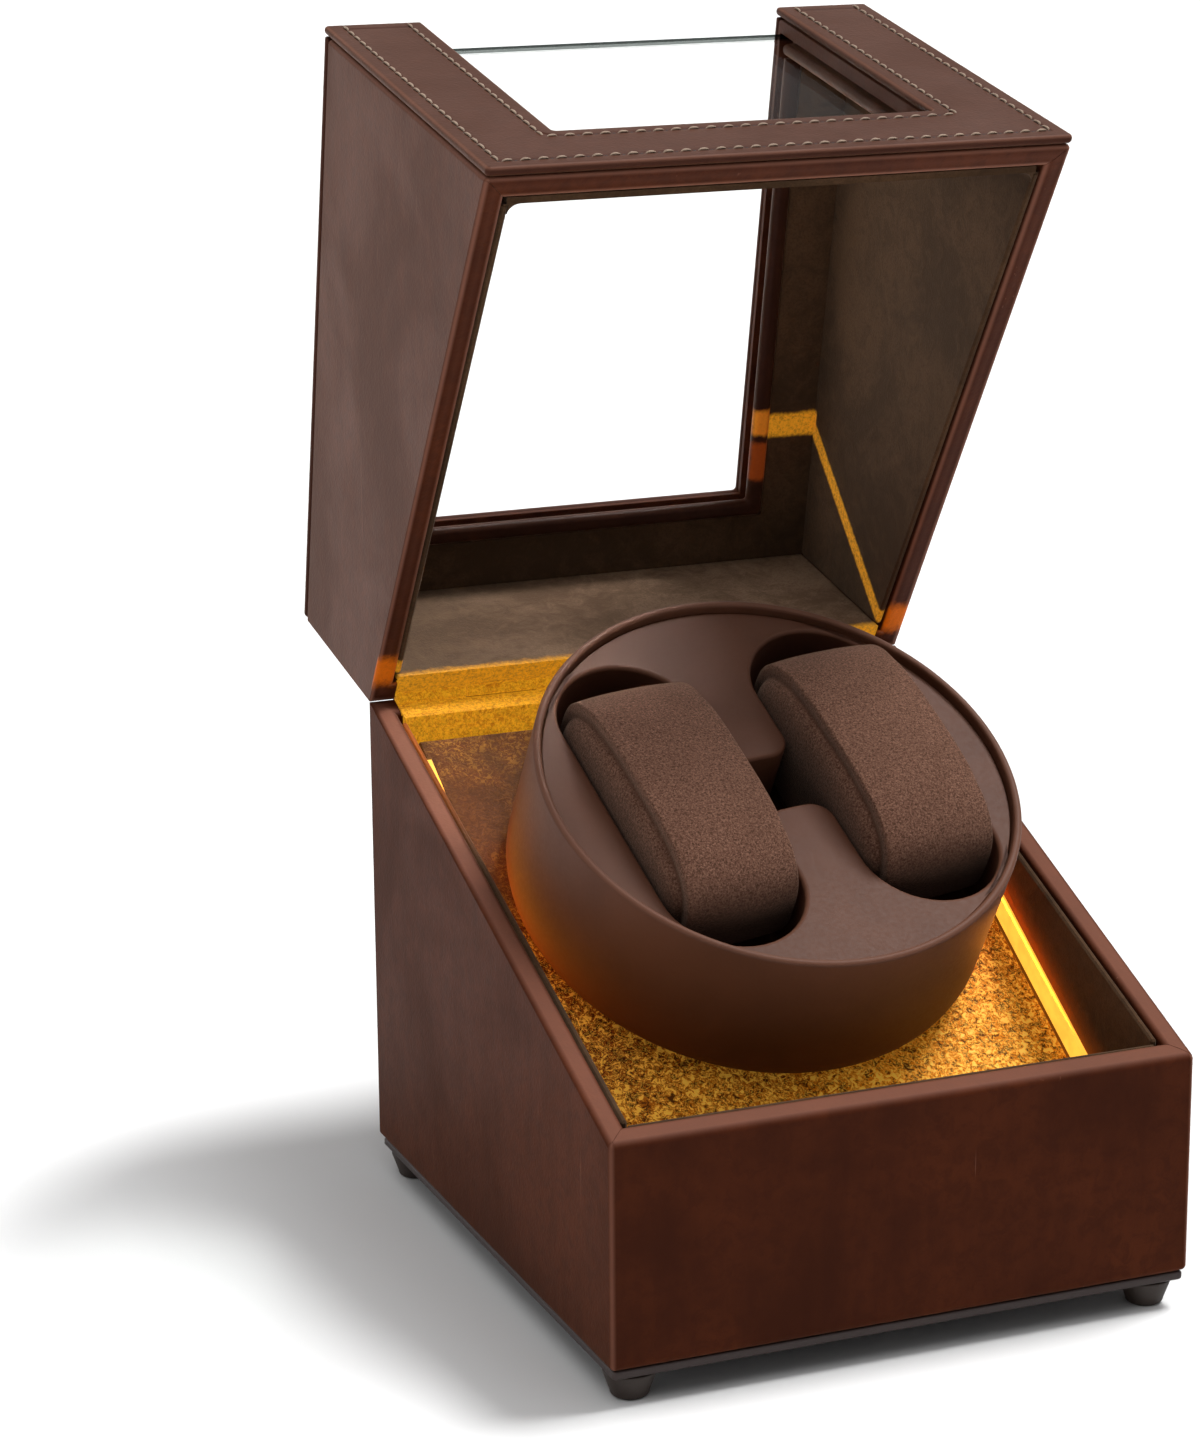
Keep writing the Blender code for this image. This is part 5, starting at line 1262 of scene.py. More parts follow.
@dataclass
class Base:
    """Leather walls, bottom board, feet and linings of the base."""

    foot_radii: tuple[float, float] = (6.8 * MM, 5.0 * MM)
    foot_edge: float = 1.4 * MM
    board_inset: float = 0.8 * MM
    board_corner: float = 1.2 * MM
    board_edge: float = 0.8 * MM
    crease: float = 0.35 * MM
    rim_wear_and_highlight: float = 0.80
    foot_pole: float = 0.4 * MM
    foot_shoulder: float = 0.5 * MM
    foot_steps: int = 48
    plate_corner: float = 3.0 * MM
    suede_reach: float = 0.8 * MM
    knuckle_reach: float = 1.2 * MM
    warm_reach: tuple[float, float] = (1.0 * MM, 16.0 * MM)

    def build(self) -> None:
        """Build every visible part of the base."""
        self.build_walls()
        self.build_board()
        for node in ("foot_front_left", "foot_front_right", "foot_back_left", "foot_back_right"):
            self.build_foot(node)
        carry("base_liner_front", Look.LINING)
        warm = self.warm_lining()
        for node in ("base_liner_left", "base_liner_right"):
            paint(node, warm)
        # The back lining and the hinge's knuckles and pin take suede with amber light painted along the hinge line.
        lit_gold = BASE_LIGHT.suede("lit_back_suede", self.suede_reach)
        for node in ("base_liner_back", "hinge_lower", "hinge_pin"):
            paint(node, lit_gold)
        paint("hinge_upper", LID_LIGHT.suede("lit_hinge_suede", self.knuckle_reach))

    def wall_rows(self) -> tuple[Array, Array]:
        """Section of a wall, from its outer foot up, over the rim and down inside.

        Returns:
            Rows of inset, height, and scuffing with a painted highlight, and which of them follow the seam.
        """
        low = edge_profile(CASE.edge, CASE.wall)[: EDGE_STEPS + 1]
        rim = edge_profile(CASE.edge, 0.0)[EDGE_STEPS + 1 :]
        # The rim is paler towards its crown: wear and a painted highlight.
        rim[:, 2] = self.rim_wear_and_highlight * rim[:, 0] / CASE.edge
        inner = rim[::-1] * (-1, 1, 1) + (CASE.wall, 0, 0)
        crown = np.array([[CASE.wall / 2, CASE.crown, self.rim_wear_and_highlight]])
        foot = low[::-1] * (-1, 1, 0) + (CASE.wall, 0, 0)
        rows = np.concatenate([low, rim, crown, inner, foot])
        count = len(rim) * 2 + 1
        from_seam = np.zeros(len(rows), bool)
        from_seam[len(low) : len(low) + count] = True
        return rows, from_seam

    def build_walls(self) -> None:
        """Walls as a section carried round the case. Its upper rows follow the sloping seam."""
        rows, from_seam = self.wall_rows()
        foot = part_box("base_shell")[0][2] - PLACE.ground
        points, worn = walls_round(rows, from_seam, 0.0, foot, -1, self.crease)
        skin = Skin()
        skin.grid(points, worn=worn, round_rows=True)
        walls = skin.make("base_leather", PLACE.case)
        cut(walls, [self.control_opening(), rim_cutter("base_rim_step", -1, PLACE.case)])
        even_normals(walls)
        dress(walls, Look.CASE, "base", "base_shell")
        coat(walls, BASE_LIGHT.leather(Look.CASE))

    def build_board(self) -> None:
        """The covered board below the walls."""
        half = PLACE.half_width - self.board_inset
        near, far = self.board_inset, PLACE.depth - self.board_inset
        corners = np.array([(-half, near), (half, near), (half, far), (-half, far)])
        profile = edge_profile(self.board_edge, CASE.board, 4)
        piece = board(corners, np.full(4, self.board_corner), profile).make("base_board", PLACE.case)
        even_normals(piece)
        dress(piece, Look.BOARD, "base", "bottom_board")

    def build_foot(self, node: str) -> None:
        """A tapered foot with a rounded tread, turned about its own axis."""
        low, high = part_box(node)
        top, tread = self.foot_radii
        height = high[2] - low[2]
        edge, shoulder = self.foot_edge, self.foot_shoulder
        rows = [
            np.array([(self.foot_pole, height), (top - shoulder, height)]),
            arc((top - shoulder, height - shoulder), (shoulder, shoulder), (90, 0), 4),
            arc((tread - edge, edge), (edge, edge), (0, -90), 6),
            np.array([(self.foot_pole, 0.0)]),
        ]
        skin = Skin()
        skin.grid(turned(np.concatenate(rows), self.foot_steps))
        place = shift((low[0] + high[0]) / 2, (low[1] + high[1]) / 2, low[2])
        dress(skin.make(f"{node}_rubber", place), Look.RUBBER, "base", node)

    def warm_lining(self) -> bpy.types.Material:
        """The side linings, which glow just above the strips."""
        low, high = (np.array(corner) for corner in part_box("light_strip_right"))
        along = np.array([0.0, high[1] - low[1], high[2] - low[2]])
        rise = np.cross(RIGHT, along / np.linalg.norm(along))
        near = Band(rise, low, *self.warm_reach, ragged=0.25)
        return lit_lining("warm_side_suede", Glow((near,), 0.20, srgb("8a4410"), 0.85))

    def control_opening(self) -> bpy.types.Object:
        """A bar that opens the back wall for the control plate."""
        low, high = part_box("control_plate")
        gap = CASE.touch
        half = high[0] + gap
        near, far = low[2] - gap, high[2] + gap
        corners = np.array([(-half, near), (half, near), (half, far), (-half, far)])
        profile = np.array([(0, 0, 0), (0, CASE.wall * 2, 0)], float)
        skin = board(corners, np.full(4, self.plate_corner + gap), profile)
        facing = axes(UP, -BACK, (0, PLACE.hinge[1] + CASE.wall / 2, 0))
        return skin.make("control_opening", facing)


def rim_cutter(name: str, side: int, matrix: Array) -> bpy.types.Object:
    """A bar that lowers the back rim for the hinge and for the linings that cover it.

    Args:
        name: The cutter's name.
        side: -1 for the base and 1 for the lid.
        matrix: The frame that it is drawn in.

    Returns:
        The cutter.
    """
    angle, depth = CASE.seam_angle, CASE.step_depth
    inner = CASE.wall / math.cos(angle) + depth
    bend = arc((0, 0), (depth, depth), (90, 270), 14)
    section = np.concatenate([[(inner, -depth), (inner, depth)], bend, [(0, -depth)]])
    along, above = section[:, 0], -side * section[:, 1]
    y = PLACE.depth - along * math.cos(angle) - above * math.sin(angle)
    z = PLACE.back_height - along * math.sin(angle) + above * math.cos(angle)
    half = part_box("hinge_pin")[1][0] + CASE.touch
    return bar(name, np.column_stack([y, z]), half, matrix)


def shut_box(node: str) -> tuple[Array, Array]:
    """The corners of a packed lid node's box, in the case frame and with the lid shut."""
    piece = frame["nodes"][node]
    points = placed(coordinates(piece.data), np.linalg.inv(PLACE.lid) @ np.array(piece.matrix_world))
    return points.min(0), points.max(0)


# Lid


@dataclass
class Lid:
    """Leather walls, stitched frames, beads, panes and linings of the lid, drawn shut."""

    stitch_inset: float = 4.7 * MM
    stitch_pitch: float = 4.7 * MM
    stitch_length: float = 3.3 * MM
    thread: float = 0.38 * MM
    slant: float = math.radians(9)
    channel: float = 0.28 * MM
    frame_edge: float = 1.15 * MM
    crease: float = 0.3 * MM
    side_streak: tuple[tuple[float, float], tuple[float, float]] = ((0.1225, 0.181), (0.161, 0.127))
    top_streak: tuple[float, float] = (0.118, 0.126)
    run_end: float = 1.6 * MM
    cove: float = 3.0 * MM
    cove_gap: float = 0.02 * MM
    lining_drop: float = 0.9 * MM
    rim_wear_and_highlight: float = 0.12
    over: float = 2.0 * MM
    channel_half: float = 0.9 * MM
    channel_margin: float = 2.4 * MM
    frame_corner: float = 1.4 * MM
    frame_end: float = 0.6 * MM
    window_corner: float = 1.0 * MM
    hole_depth: float = 0.25 * MM
    bead_round: float = 1.7 * MM
    bead_radii: tuple[float, float, float] = (2.0 * MM, 0.3 * MM, 0.6 * MM)
    seam_light: tuple[float, float] = (2.0 * MM, 6.0 * MM)
    shadow_reach: tuple[float, float] = (4.0 * MM, 84.0 * MM)
    streak_half: float = 2.1 * MM
    streak_fade: float = 1.2 * MM
    streak_below: float = 4.0 * MM
    band_fades: tuple[float, float] = (1.2 * MM, 0.6 * MM)
    ceiling_fade: float = 0.5 * MM
    bead_light_fade: float = 1.0 * MM
    bead_light_before: float = 2.0 * MM
    bead_light_after: float = 14.0 * MM

    def build(self) -> None:
        """Build every visible part of the lid."""
        self.build_walls()
        self.build_front_frame()
        self.build_top_frame()
        self.build_beads()
        self.build_coves()
        for node in ("lid_front_glass", "lid_top_glass"):
            carry(node, Look.GLASS)
        carry("lid_liner_front", Look.LINING)
        streaked = self.streaked_lining()
        for node in ("lid_liner_left", "lid_liner_right", "lid_liner_top"):
            paint(node, streaked)
        paint("lid_liner_back", self.back_lining())

    def back_lining(self) -> bpy.types.Material:
        """The back lining, with amber light painted along the seam and painted shadow on the left."""
        across = PLACE.lid[:3, :3] @ CASE.off_seam
        seam = Glow((Band(across, PLACE.hinge, *self.seam_light, False),), 0.62, srgb("e39a1c"), 0.4, 0.4)
        shade = Band(RIGHT, -CASE_LINER_HALF * RIGHT, *self.shadow_reach, False, 0.15)
        tan, brown = srgb("745c49"), srgb("4d3929")
        look = Suede("lid_back_suede", "suede_lining", tan, brown, glows=(seam,), shade=(shade,))
        return look.material()

    def streak(self, first: tuple[float, float], last: tuple[float, float]) -> Glow:
        """A streak of amber light between two places on a shut lid's side, given as depth and height."""
        y, z = last[0] - first[0], last[1] - first[1]
        away = PLACE.lid[:3, :3] @ (np.array([0, -z, y]) / math.hypot(y, z))
        start = placed(np.array([0, *first]), PLACE.lid)
        band = Band(away, start, self.streak_half, self.streak_half + self.streak_fade)
        return Glow((band,), 0.45, srgb("dc9420"), 0.35, 0.7)

    def streaked_lining(self) -> bpy.types.Material:
        """The side and top linings, which catch a streak of light that runs on from one to the other."""
        above = self.band_above(CASE.board_top - CASE.lid_top - self.streak_below)
        top = Glow((self.band_across(*self.top_streak), above), 0.45, srgb("c07c1a"), 0.35)
        return lit_lining("streaked_lid_suede", self.streak(*self.side_streak), top)

    def band_across(self, near: float, far: float) -> Band:
        """A band between two depths of the shut lid."""
        middle = placed(np.array([0, (near + far) / 2, 0]), PLACE.lid)
        half = (far - near) / 2
        return Band(PLACE.lid[:3, 1], middle, half - self.band_fades[0], half + self.band_fades[1])

    def band_above(self, height: float) -> Band:
        """The space above a height of the shut lid."""
        start = placed(np.array([0, 0, height]), PLACE.lid)
        return Band(-PLACE.lid[:3, 2], start, 0.0, self.ceiling_fade, False)

    def wall_rows(self) -> tuple[Array, Array]:
        """Section of a wall, from the top board down outside, over the rim and up inside to its underside.

        Returns:
            Rows of inset, height, and scuffing with a painted highlight, and which of them follow the seam.
        """
        edge = edge_profile(CASE.edge, 0.0)
        down, rim = edge[EDGE_STEPS + 1 :][::-1], edge[EDGE_STEPS::-1]
        # The rim is paler in its middle: wear and a painted highlight.
        edge_wear_and_light = np.sin(np.linspace(0, math.pi, EDGE_STEPS + 1)) ** 2
        outer = np.column_stack([rim[:, 0], rim[:, 1], edge_wear_and_light])
        inner = outer[::-1] * (-1, 1, 1) + (CASE.wall, 0, 0)
        crown = np.array([[CASE.wall / 2, -CASE.crown, self.rim_wear_and_highlight]])
        ceiling = np.array([[CASE.wall, -CASE.lid_top, 0.0]])
        rows = np.concatenate([down, outer, crown, inner, ceiling])
        from_seam = np.zeros(len(rows), bool)
        from_seam[len(down) : len(down) + len(outer) * 2 + 1] = True
        return rows, from_seam

    def build_walls(self) -> None:
        """Walls as a section carried round the case, closed by the top board, with the window cut out."""
        rows, from_seam = self.wall_rows()
        points, worn = walls_round(rows, from_seam, CASE.board_front, CASE.board_top, 1, self.crease)
        skin = Skin()
        skin.grid(points, worn=worn)
        walls = skin.make("lid_leather", PLACE.lid)
        inner_front = CASE.board_front + CASE.lid_front
        inner_top = CASE.board_top - CASE.lid_top
        lap = CASE.glass_lap + CASE.touch
        rebate = CASE.glass + CASE.touch * 2
        opening = self.window("lid_window", 0.0, -self.over, CASE.closed_height + self.over)
        seat = self.window("lid_rebate", lap, inner_front - rebate, inner_top + rebate)
        cut(walls, [opening, seat, rim_cutter("lid_rim_step", 1, PLACE.lid)])
        even_normals(walls)
        dress(walls, Look.LID, "lid", "lid_shell")
        coat(walls, LID_LIGHT.leather(Look.LID))

    def window(self, name: str, lap: float, outer: float, above: float) -> bpy.types.Object:
        """An L-shaped bar across the lid's front and top.

        Args:
            name: The cutter's name.
            lap: How far it goes past the window on each side.
            outer: Depth of its front face.
            above: Height of its upper face.

        Returns:
            The cutter.
        """
        inner = CASE.board_front + CASE.lid_front + self.over
        below = CASE.board_top - CASE.lid_top - self.over
        sill = CASE.front_height + CASE.strip - lap
        back = PLACE.depth - CASE.strip + lap
        depths = (outer, inner, inner, back, back, outer)
        section = np.column_stack([depths, (sill, sill, below, below, above, above)])
        return bar(name, section, CASE.window_half + lap, PLACE.lid)

    def frame_profile(self) -> Array:
        """Section of a padded frame: rounded edges, and a channel in its face that the stitches lie in."""
        profile = edge_profile(self.frame_edge, CASE.pad, 6)
        across = np.linspace(-1, 1, 9)
        offsets = across * self.channel_half
        depth = self.channel * np.cos(across * math.pi / 2) ** 2
        groove = np.column_stack([self.stitch_inset + offsets, CASE.pad - depth, offsets * 0])
        near = np.array([(self.stitch_inset - self.channel_margin, CASE.pad, 0.0)])
        after = np.array([(self.stitch_inset + self.channel_margin, CASE.pad, 0.0)])
        return np.concatenate([profile, near, groove, after])

    def build_front_frame(self) -> None:
        """The stitched U on the lid's front."""
        low = CASE.seam(np.array(CASE.pad), CASE.seam_gap / 2)
        matrix = PLACE.lid @ axes(UP, -BACK, (0, CASE.pad, 0))
        sill = CASE.front_height + CASE.strip
        self.build_frame("lid_front", matrix, float(low), CASE.closed_height, sill, 1)

    def build_top_frame(self) -> None:
        """The stitched U on the lid's top."""
        matrix = PLACE.lid @ shift(0, 0, CASE.closed_height - CASE.pad)
        matrix = matrix @ axes(-BACK, UP, (0, PLACE.depth, 0))
        far = PLACE.depth - CASE.board_front
        self.build_frame("lid_top", matrix, 0.0, far, CASE.strip, -1)

    def build_frame(self, name: str, matrix: Array, low: float, high: float, sill: float, hand: int) -> None:
        """A padded U with rows of stitches along its outer and its inner edge.

        Args:
            name: The frame's name.
            matrix: The frame of its face, with its face along +Z.
            low: Where its closed end starts.
            high: Where its open end stops.
            sill: Where the window starts.
            hand: 1, or -1 where the matrix mirrors.
        """
        half, inner = PLACE.half_width, CASE.window_half
        radii = np.repeat([self.frame_corner, self.frame_end, self.window_corner, self.frame_end], 2)
        skin = board(u_shape(half, inner, low, high, sill), radii, self.frame_profile())
        piece = skin.make(f"{name}_stitched_frame", matrix)
        even_normals(piece)
        dress(piece, Look.FRAME, "lid", f"{name}_frame")
        inset, top = self.stitch_inset, high - self.run_end
        stitches, holes = Skin(), Skin()
        for across, foot in ((half - inset, low + inset), (inner + inset, sill - inset)):
            path = np.array([(-across, top), (-across, foot), (across, foot), (across, top)])
            for start, end in zip(path, path[1:]):
                self.stitch_run(stitches, holes, start, end, hand)
        dress(stitches.make(f"{name}_stitches", matrix, THREAD_ANGLE), Look.THREAD, "lid")
        dress(holes.make(f"{name}_needle_holes", matrix, THREAD_ANGLE), Look.HOLE_SHADE, "lid")

    def stitch_run(self, stitches: Skin, holes: Skin, start: Array, end: Array, hand: int) -> None:
        """Evenly spaced stitches, with a needle hole drawn in painted shade between each two, along a straight run.
        """
        length = float(np.linalg.norm(end - start))
        count = round(length / self.stitch_pitch)
        along = (end - start) / length
        angle = math.atan2(along[1], along[0]) + self.slant * hand
        slanted = np.array(Matrix.Rotation(angle, 3, "Z"))
        middles = (np.arange(count) + 0.5) / count
        gaps = np.arange(count + 1) / count
        rows = ((stitches, self.stitch(), slanted, middles), (holes, self.hole(), np.eye(3), gaps))
        for skin, unit, turned_by, shares in rows:
            flat = start + (end - start) * shares[:, None]
            places = np.column_stack([flat, np.full(len(shares), CASE.pad - self.channel)])
            skin.copies(unit, np.repeat(turned_by[None], len(shares), axis=0), places)

    def stitch(self) -> Array:
        """One stitch: a thread that rises out of its hole, lies flat and goes down again.

        At share t along it, its middle is at height h (1 - (2t - 1)^4) and its radius falls to a fifth at the
        ends. Two strands twist round it, as r (1 + 0.14 cos(2 a + 9 t)).
        """
        t = (1 - np.cos(np.linspace(0, math.pi, 10))) / 2
        angle = np.linspace(0, math.tau, 10, endpoint=False)
        ends = (2 * t - 1) ** 4
        radius = self.thread * (1 - 0.8 * ends**2)
        strand = radius[:, None] * (1 + 0.14 * np.cos(2 * angle[None] + 9 * t[:, None]))
        x = np.broadcast_to(((t - 0.5) * self.stitch_length)[:, None], strand.shape)
        middle = self.thread * 1.15 * (1 - ends) - self.hole_depth * ends
        z = middle[:, None] + strand * np.sin(angle) * 0.8
        return np.stack([x, strand * np.cos(angle), z], -1)

    def hole(self) -> Array:
        """A needle hole, drawn as a low dome whose dark colour is painted shade."""
        rows = np.array([(0.42, 0.0), (0.40, 0.05), (0.28, 0.09), (0.08, 0.11)]) * MM
        return turned(rows, 8)

    def build_beads(self) -> None:
        """Rounded leather beads that hold the panes from inside."""
        outer = CASE.window_half + CASE.moulding_width
        inner = CASE.window_half
        near = CASE.board_front + CASE.lid_front
        high = CASE.board_top - CASE.lid_top
        sill = CASE.front_height + CASE.strip
        corners = u_shape(outer, inner, sill - CASE.moulding_width, high, sill)
        self.build_bead("lid_front_moulding", PLACE.lid @ axes(UP, BACK, (0, near, 0)), corners)
        back = PLACE.depth - CASE.strip
        far = near + CASE.moulding_depth + CASE.touch
        corners = u_shape(outer, inner, -back - CASE.moulding_width, -far, -back)
        above = shift(0, 0, high - CASE.moulding_depth)
        top = self.build_bead("lid_top_moulding", PLACE.lid @ above @ axes(-BACK, UP), corners)
        coat(top, self.lit_bead())

    def build_bead(self, node: str, matrix: Array, corners: Array) -> bpy.types.Object:
        """A bead along three sides of a pane."""
        foot, end, sill = self.bead_radii
        profile = edge_profile(self.bead_round, CASE.moulding_depth, 6)
        piece = board(corners, np.repeat([foot, end, sill, end], 2), profile).make(f"{node}_bead", matrix)
        even_normals(piece)
        return dress(piece, Look.BEAD, "lid", node)

    def lit_bead(self) -> bpy.types.Material:
        """The top bead's leather, which the streak of light crosses on the right."""
        edge = -CASE.window_half
        right = Band(-RIGHT, np.zeros(3), edge, edge + self.bead_light_fade, False)
        near, far = self.top_streak
        lighter = self.band_across(near - self.bead_light_before, far)
        darker = self.band_across(far, far + self.bead_light_after)
        bright = Glow((lighter, right), 0.45, srgb("dc8a24"), 0.85)
        dim = Glow((darker, right), 0.45, srgb("6e2e0c"), 0.9)
        return replace(Look.BEAD.value, name="lit_bead_leather", glows=(dim, bright)).material()

    def build_coves(self) -> None:
        """Fillets of lining where the front lining meets the side ones.

        The section is a corner less a quarter circle, with a tail that fills the joint behind it.
        """
        low, high = shut_box("lid_liner_front")
        side, face = shut_box("lid_liner_right")[0][0] - self.cove_gap, high[1] + self.cove_gap
        ceiling = shut_box("lid_liner_right")[1][2] - self.cove_gap
        radius, tail = self.cove, CASE.liner - CASE.touch
        bend = arc((side - radius, face + radius), (radius, radius), (0, -90), 8)
        joint_end = [(side + tail, face), (side + tail, face + CASE.touch), (side, face + CASE.touch)]
        section = np.concatenate([bend, joint_end])
        rim = CASE.seam(section[:, 1], CASE.seam_gap / 2 + self.lining_drop)
        skin = Skin()
        for hand in (-1, 1):
            ends = [np.column_stack([section * (hand, 1), z]) for z in (rim, np.full(len(rim), ceiling))]
            skin.grid(np.stack(ends))
        dress(skin.make("lid_lining_coves", PLACE.lid), Look.LINING, "lid")


# Drum


@dataclass
class Drum:
    """The turned bowl, the tray with its pockets and what turns with them."""

    radius: float = 65.025 * MM
    depth: float = 47.0 * MM
    wall: float = 2.3 * MM
    floor: float = 2.5 * MM
    corner: tuple[float, float] = (6.5 * MM, 7.5 * MM)
    drop: float = 2.5 * MM
    tray_gap: float = 0.3 * MM
    fillet: float = 1.3 * MM
    pocket_radius: float = 19.4 * MM
    pocket_length: float = 98.8 * MM
    pocket_offset: float = 29.0 * MM
    neck: float = 17.6 * MM
    tongue_corner: float = 6.2 * MM
    steps: int = 240
    turned_by: float = math.radians(6)
    pole: float = 0.5 * MM
    lip_highlight_rows: tuple[int, int] = (4, 12)
    bowl_flat: float = 3.0 * MM
    inner_band: float = 6.0 * MM
    outer_bands: tuple[float, float] = (8.0 * MM, 20.0 * MM)
    tray: float = 2.5 * MM
    pocket_depth: float = 24.3 * MM
    cup_floor: float = 1.6 * MM
    cup_wall: float = 1.2 * MM
    cup_clear: float = 0.4 * MM
    cup_round: float = 1.6 * MM
    cup_flat: float = 2.6 * MM
    pocket_lip: float = 1.0 * MM
    pocket_edge_wear_and_light: float = 0.8
    tray_edge: tuple[float, float] = (0.8 * MM, 0.3 * MM)
    tray_steps: int = 180

    @property
    def spin(self) -> Array:
        """The frame that turns with the drum."""
        return PLACE.tilted @ turn(self.turned_by, "Z")

    @property
    def pocket_floor(self) -> float:
        """Depth of the pockets' floor below the rim."""
        return self.drop + self.tray + self.tray_gap + self.pocket_depth - self.cup_floor

    def build(self) -> None:
        """Build the bowl and the tray, and finish what is below them."""
        self.build_bowl()
        self.build_tray()
        for node in ("drum_hub", "drum_gear"):
            carry(node, Look.GEAR)
        for node in ("drive_shaft", "shaft_clip"):
            carry(node, Look.STEEL)

    def build_bowl(self) -> None:
        """The bowl, turned about the drum's axis: floor, inner wall, round lip, outer wall and corner."""
        straight = self.depth - self.corner[1]
        lip = self.wall / 2
        inner = self.radius - self.wall
        floor = self.depth - self.floor
        wide, tall = self.corner[0] - self.wall, floor - straight
        foot = self.radius - self.corner[0]
        rows = [
            np.array([(self.pole, -floor), (inner - wide - self.bowl_flat, -floor)]),
            arc((inner - wide, -straight), (wide, tall), (-90, 0), 8),
            np.array([(inner, -self.drop - self.inner_band)]),
            arc((inner + lip, -lip), (lip, lip), (180, 0), 14),
            np.array([(self.radius, -band) for band in self.outer_bands]),
            arc((foot, -straight), self.corner, (0, -90), 16),
            np.array([(foot - self.bowl_flat, -self.depth), (self.pole, -self.depth)]),
        ]
        worn = [np.zeros(len(row)) for row in rows]
        # A painted highlight along the lip, from the attribute.
        worn[3][slice(*self.lip_highlight_rows)] = 1.0
        profile, worn = np.concatenate(rows), np.concatenate(worn)
        skin = Skin()
        skin.grid(turned(profile, self.steps), worn=worn[:, None])
        dress(skin.make("drum_body", self.spin), Look.DRUM, "drum", "drum_bowl")

    def pocket_outlines(self, margins: Array) -> Array:
        """Two long pockets with round ends, joined by a neck between two tongues.

        Each outline is eight arcs about the same centres, whose radii grow by the margin at the pockets' ends
        and shrink by it at the tongues.

        Args:
            margins: How far outside the pockets each outline lies.

        Returns:
            An array of outlines, points and x, y.
        """
        margins = np.asarray(margins)[:, None]
        big = self.pocket_radius + margins
        small = self.tongue_corner - margins
        straight = self.pocket_length / 2 - self.pocket_radius
        pocket = self.pocket_offset
        tongue = pocket - self.pocket_radius - self.tongue_corner
        neck = self.neck / 2 + self.tongue_corner
        pieces = (
            (pocket, straight, big, 180, 0, 22),
            (pocket, -straight, big, 0, -180, 22),
            (tongue, -neck, small, 0, 90, 8),
            (-tongue, -neck, small, 90, 180, 8),
            (-pocket, -straight, big, 0, -180, 22),
            (-pocket, straight, big, 180, 0, 22),
            (-tongue, neck, small, 180, 270, 8),
            (tongue, neck, small, 270, 360, 8),
        )
        parts = []
        for x, y, radius, start, end, steps in pieces:
            angle = np.radians(np.linspace(start, end, steps + 1))[None]
            parts.append(np.stack([x + radius * np.cos(angle), y + radius * np.sin(angle)], -1))
        return np.concatenate(parts, axis=1)

    def build_tray(self) -> None:
        """The tray's top and the pockets below it.

        The pockets' section, carried along their outline, runs over a round edge, down a wall that draws in
        slightly and over a fillet to the floor. The flat faces between outlines are filled.
        """
        fillet, foot = self.fillet, self.cup_round
        top, floor = -self.drop, -self.pocket_floor
        edge = arc((fillet, top - fillet), (fillet, fillet), (90, 180), 8)
        base = arc((-foot, floor + foot), (foot, foot), (0, -90), 5)
        rows = np.concatenate([[(fillet + self.pocket_lip, top)], edge, base, [(-self.cup_flat, floor)]])
        skin = Skin()
        points = raised(self.pocket_outlines(rows[:, 0]), rows[:, 1:2])
        worn = np.zeros((len(rows), 1))
        # The pockets' rounded edges are paler: wear and a painted highlight.
        worn[3:8] = self.pocket_edge_wear_and_light
        pockets = skin.grid(points, worn=worn, caps=False)
        rim = self.radius - self.wall - self.tray_gap
        flat, bevel = self.tray_edge
        outer = [(rim - flat, top), (rim - bevel, top), (rim, top - bevel), (rim, top - self.tray)]
        ring = skin.grid(turned(np.array(outer), self.tray_steps), caps=False)
        depths = np.array([[top - self.tray], [floor - self.cup_floor]])
        cup = raised(self.pocket_outlines(np.repeat(self.cup_wall, 2)), depths)
        reach = np.linalg.norm(cup[..., :2], axis=-1, keepdims=True)
        cup[..., :2] *= np.minimum(1.0, (rim - self.cup_clear) / reach)
        walls = skin.grid(cup, caps=False)
        skin.faces.append(pockets[-1].tolist())
        skin.faces.append(walls[-1].tolist())
        tray = skin.make("drum_tray_insert", np.eye(4))
        self.fill_between(tray, skin, pockets[0], ring[0])
        self.fill_between(tray, skin, walls[0], ring[-1])
        self.settle(tray)
        even_normals(tray)
        dress(tray, Look.DRUM, "drum", "drum_tray", "tray_cup_left", "tray_cup_right")

    def fill_between(self, tray: bpy.types.Object, skin: Skin, inner: Array, outer: Array) -> None:
        """Fill the flat face between two loops of the skin's points."""
        points = np.concatenate(skin.points)
        build = bmesh.new()
        for loop in (inner, outer):
            verts = [build.verts.new(points[i]) for i in loop.tolist()]
            for a, b in zip(verts, verts[1:] + verts[:1]):
                build.edges.new((a, b))
        bmesh.ops.triangle_fill(build, use_beauty=True, use_dissolve=False, edges=build.edges[:])
        joined = bmesh.new()
        joined.from_mesh(tray.data)
        mesh = bpy.data.meshes.new("fill")
        build.to_mesh(mesh)
        build.free()
        joined.from_mesh(mesh)
        bpy.data.meshes.remove(mesh)
        joined.to_mesh(tray.data)
        joined.free()

    def settle(self, tray: bpy.types.Object) -> None:
        """Merge the filled faces with the skin, turn the faces outwards and put the tray in its place."""
        build = bmesh.new()
        build.from_mesh(tray.data)
        bmesh.ops.remove_doubles(build, verts=build.verts[:], dist=FILL_WELD)
        bmesh.ops.recalc_face_normals(build, faces=build.faces[:])
        bmesh.ops.transform(build, matrix=Matrix(self.spin.tolist()), verts=build.verts[:])
        build.to_mesh(tray.data)
        build.free()
        shade(tray.data)


# Cushions


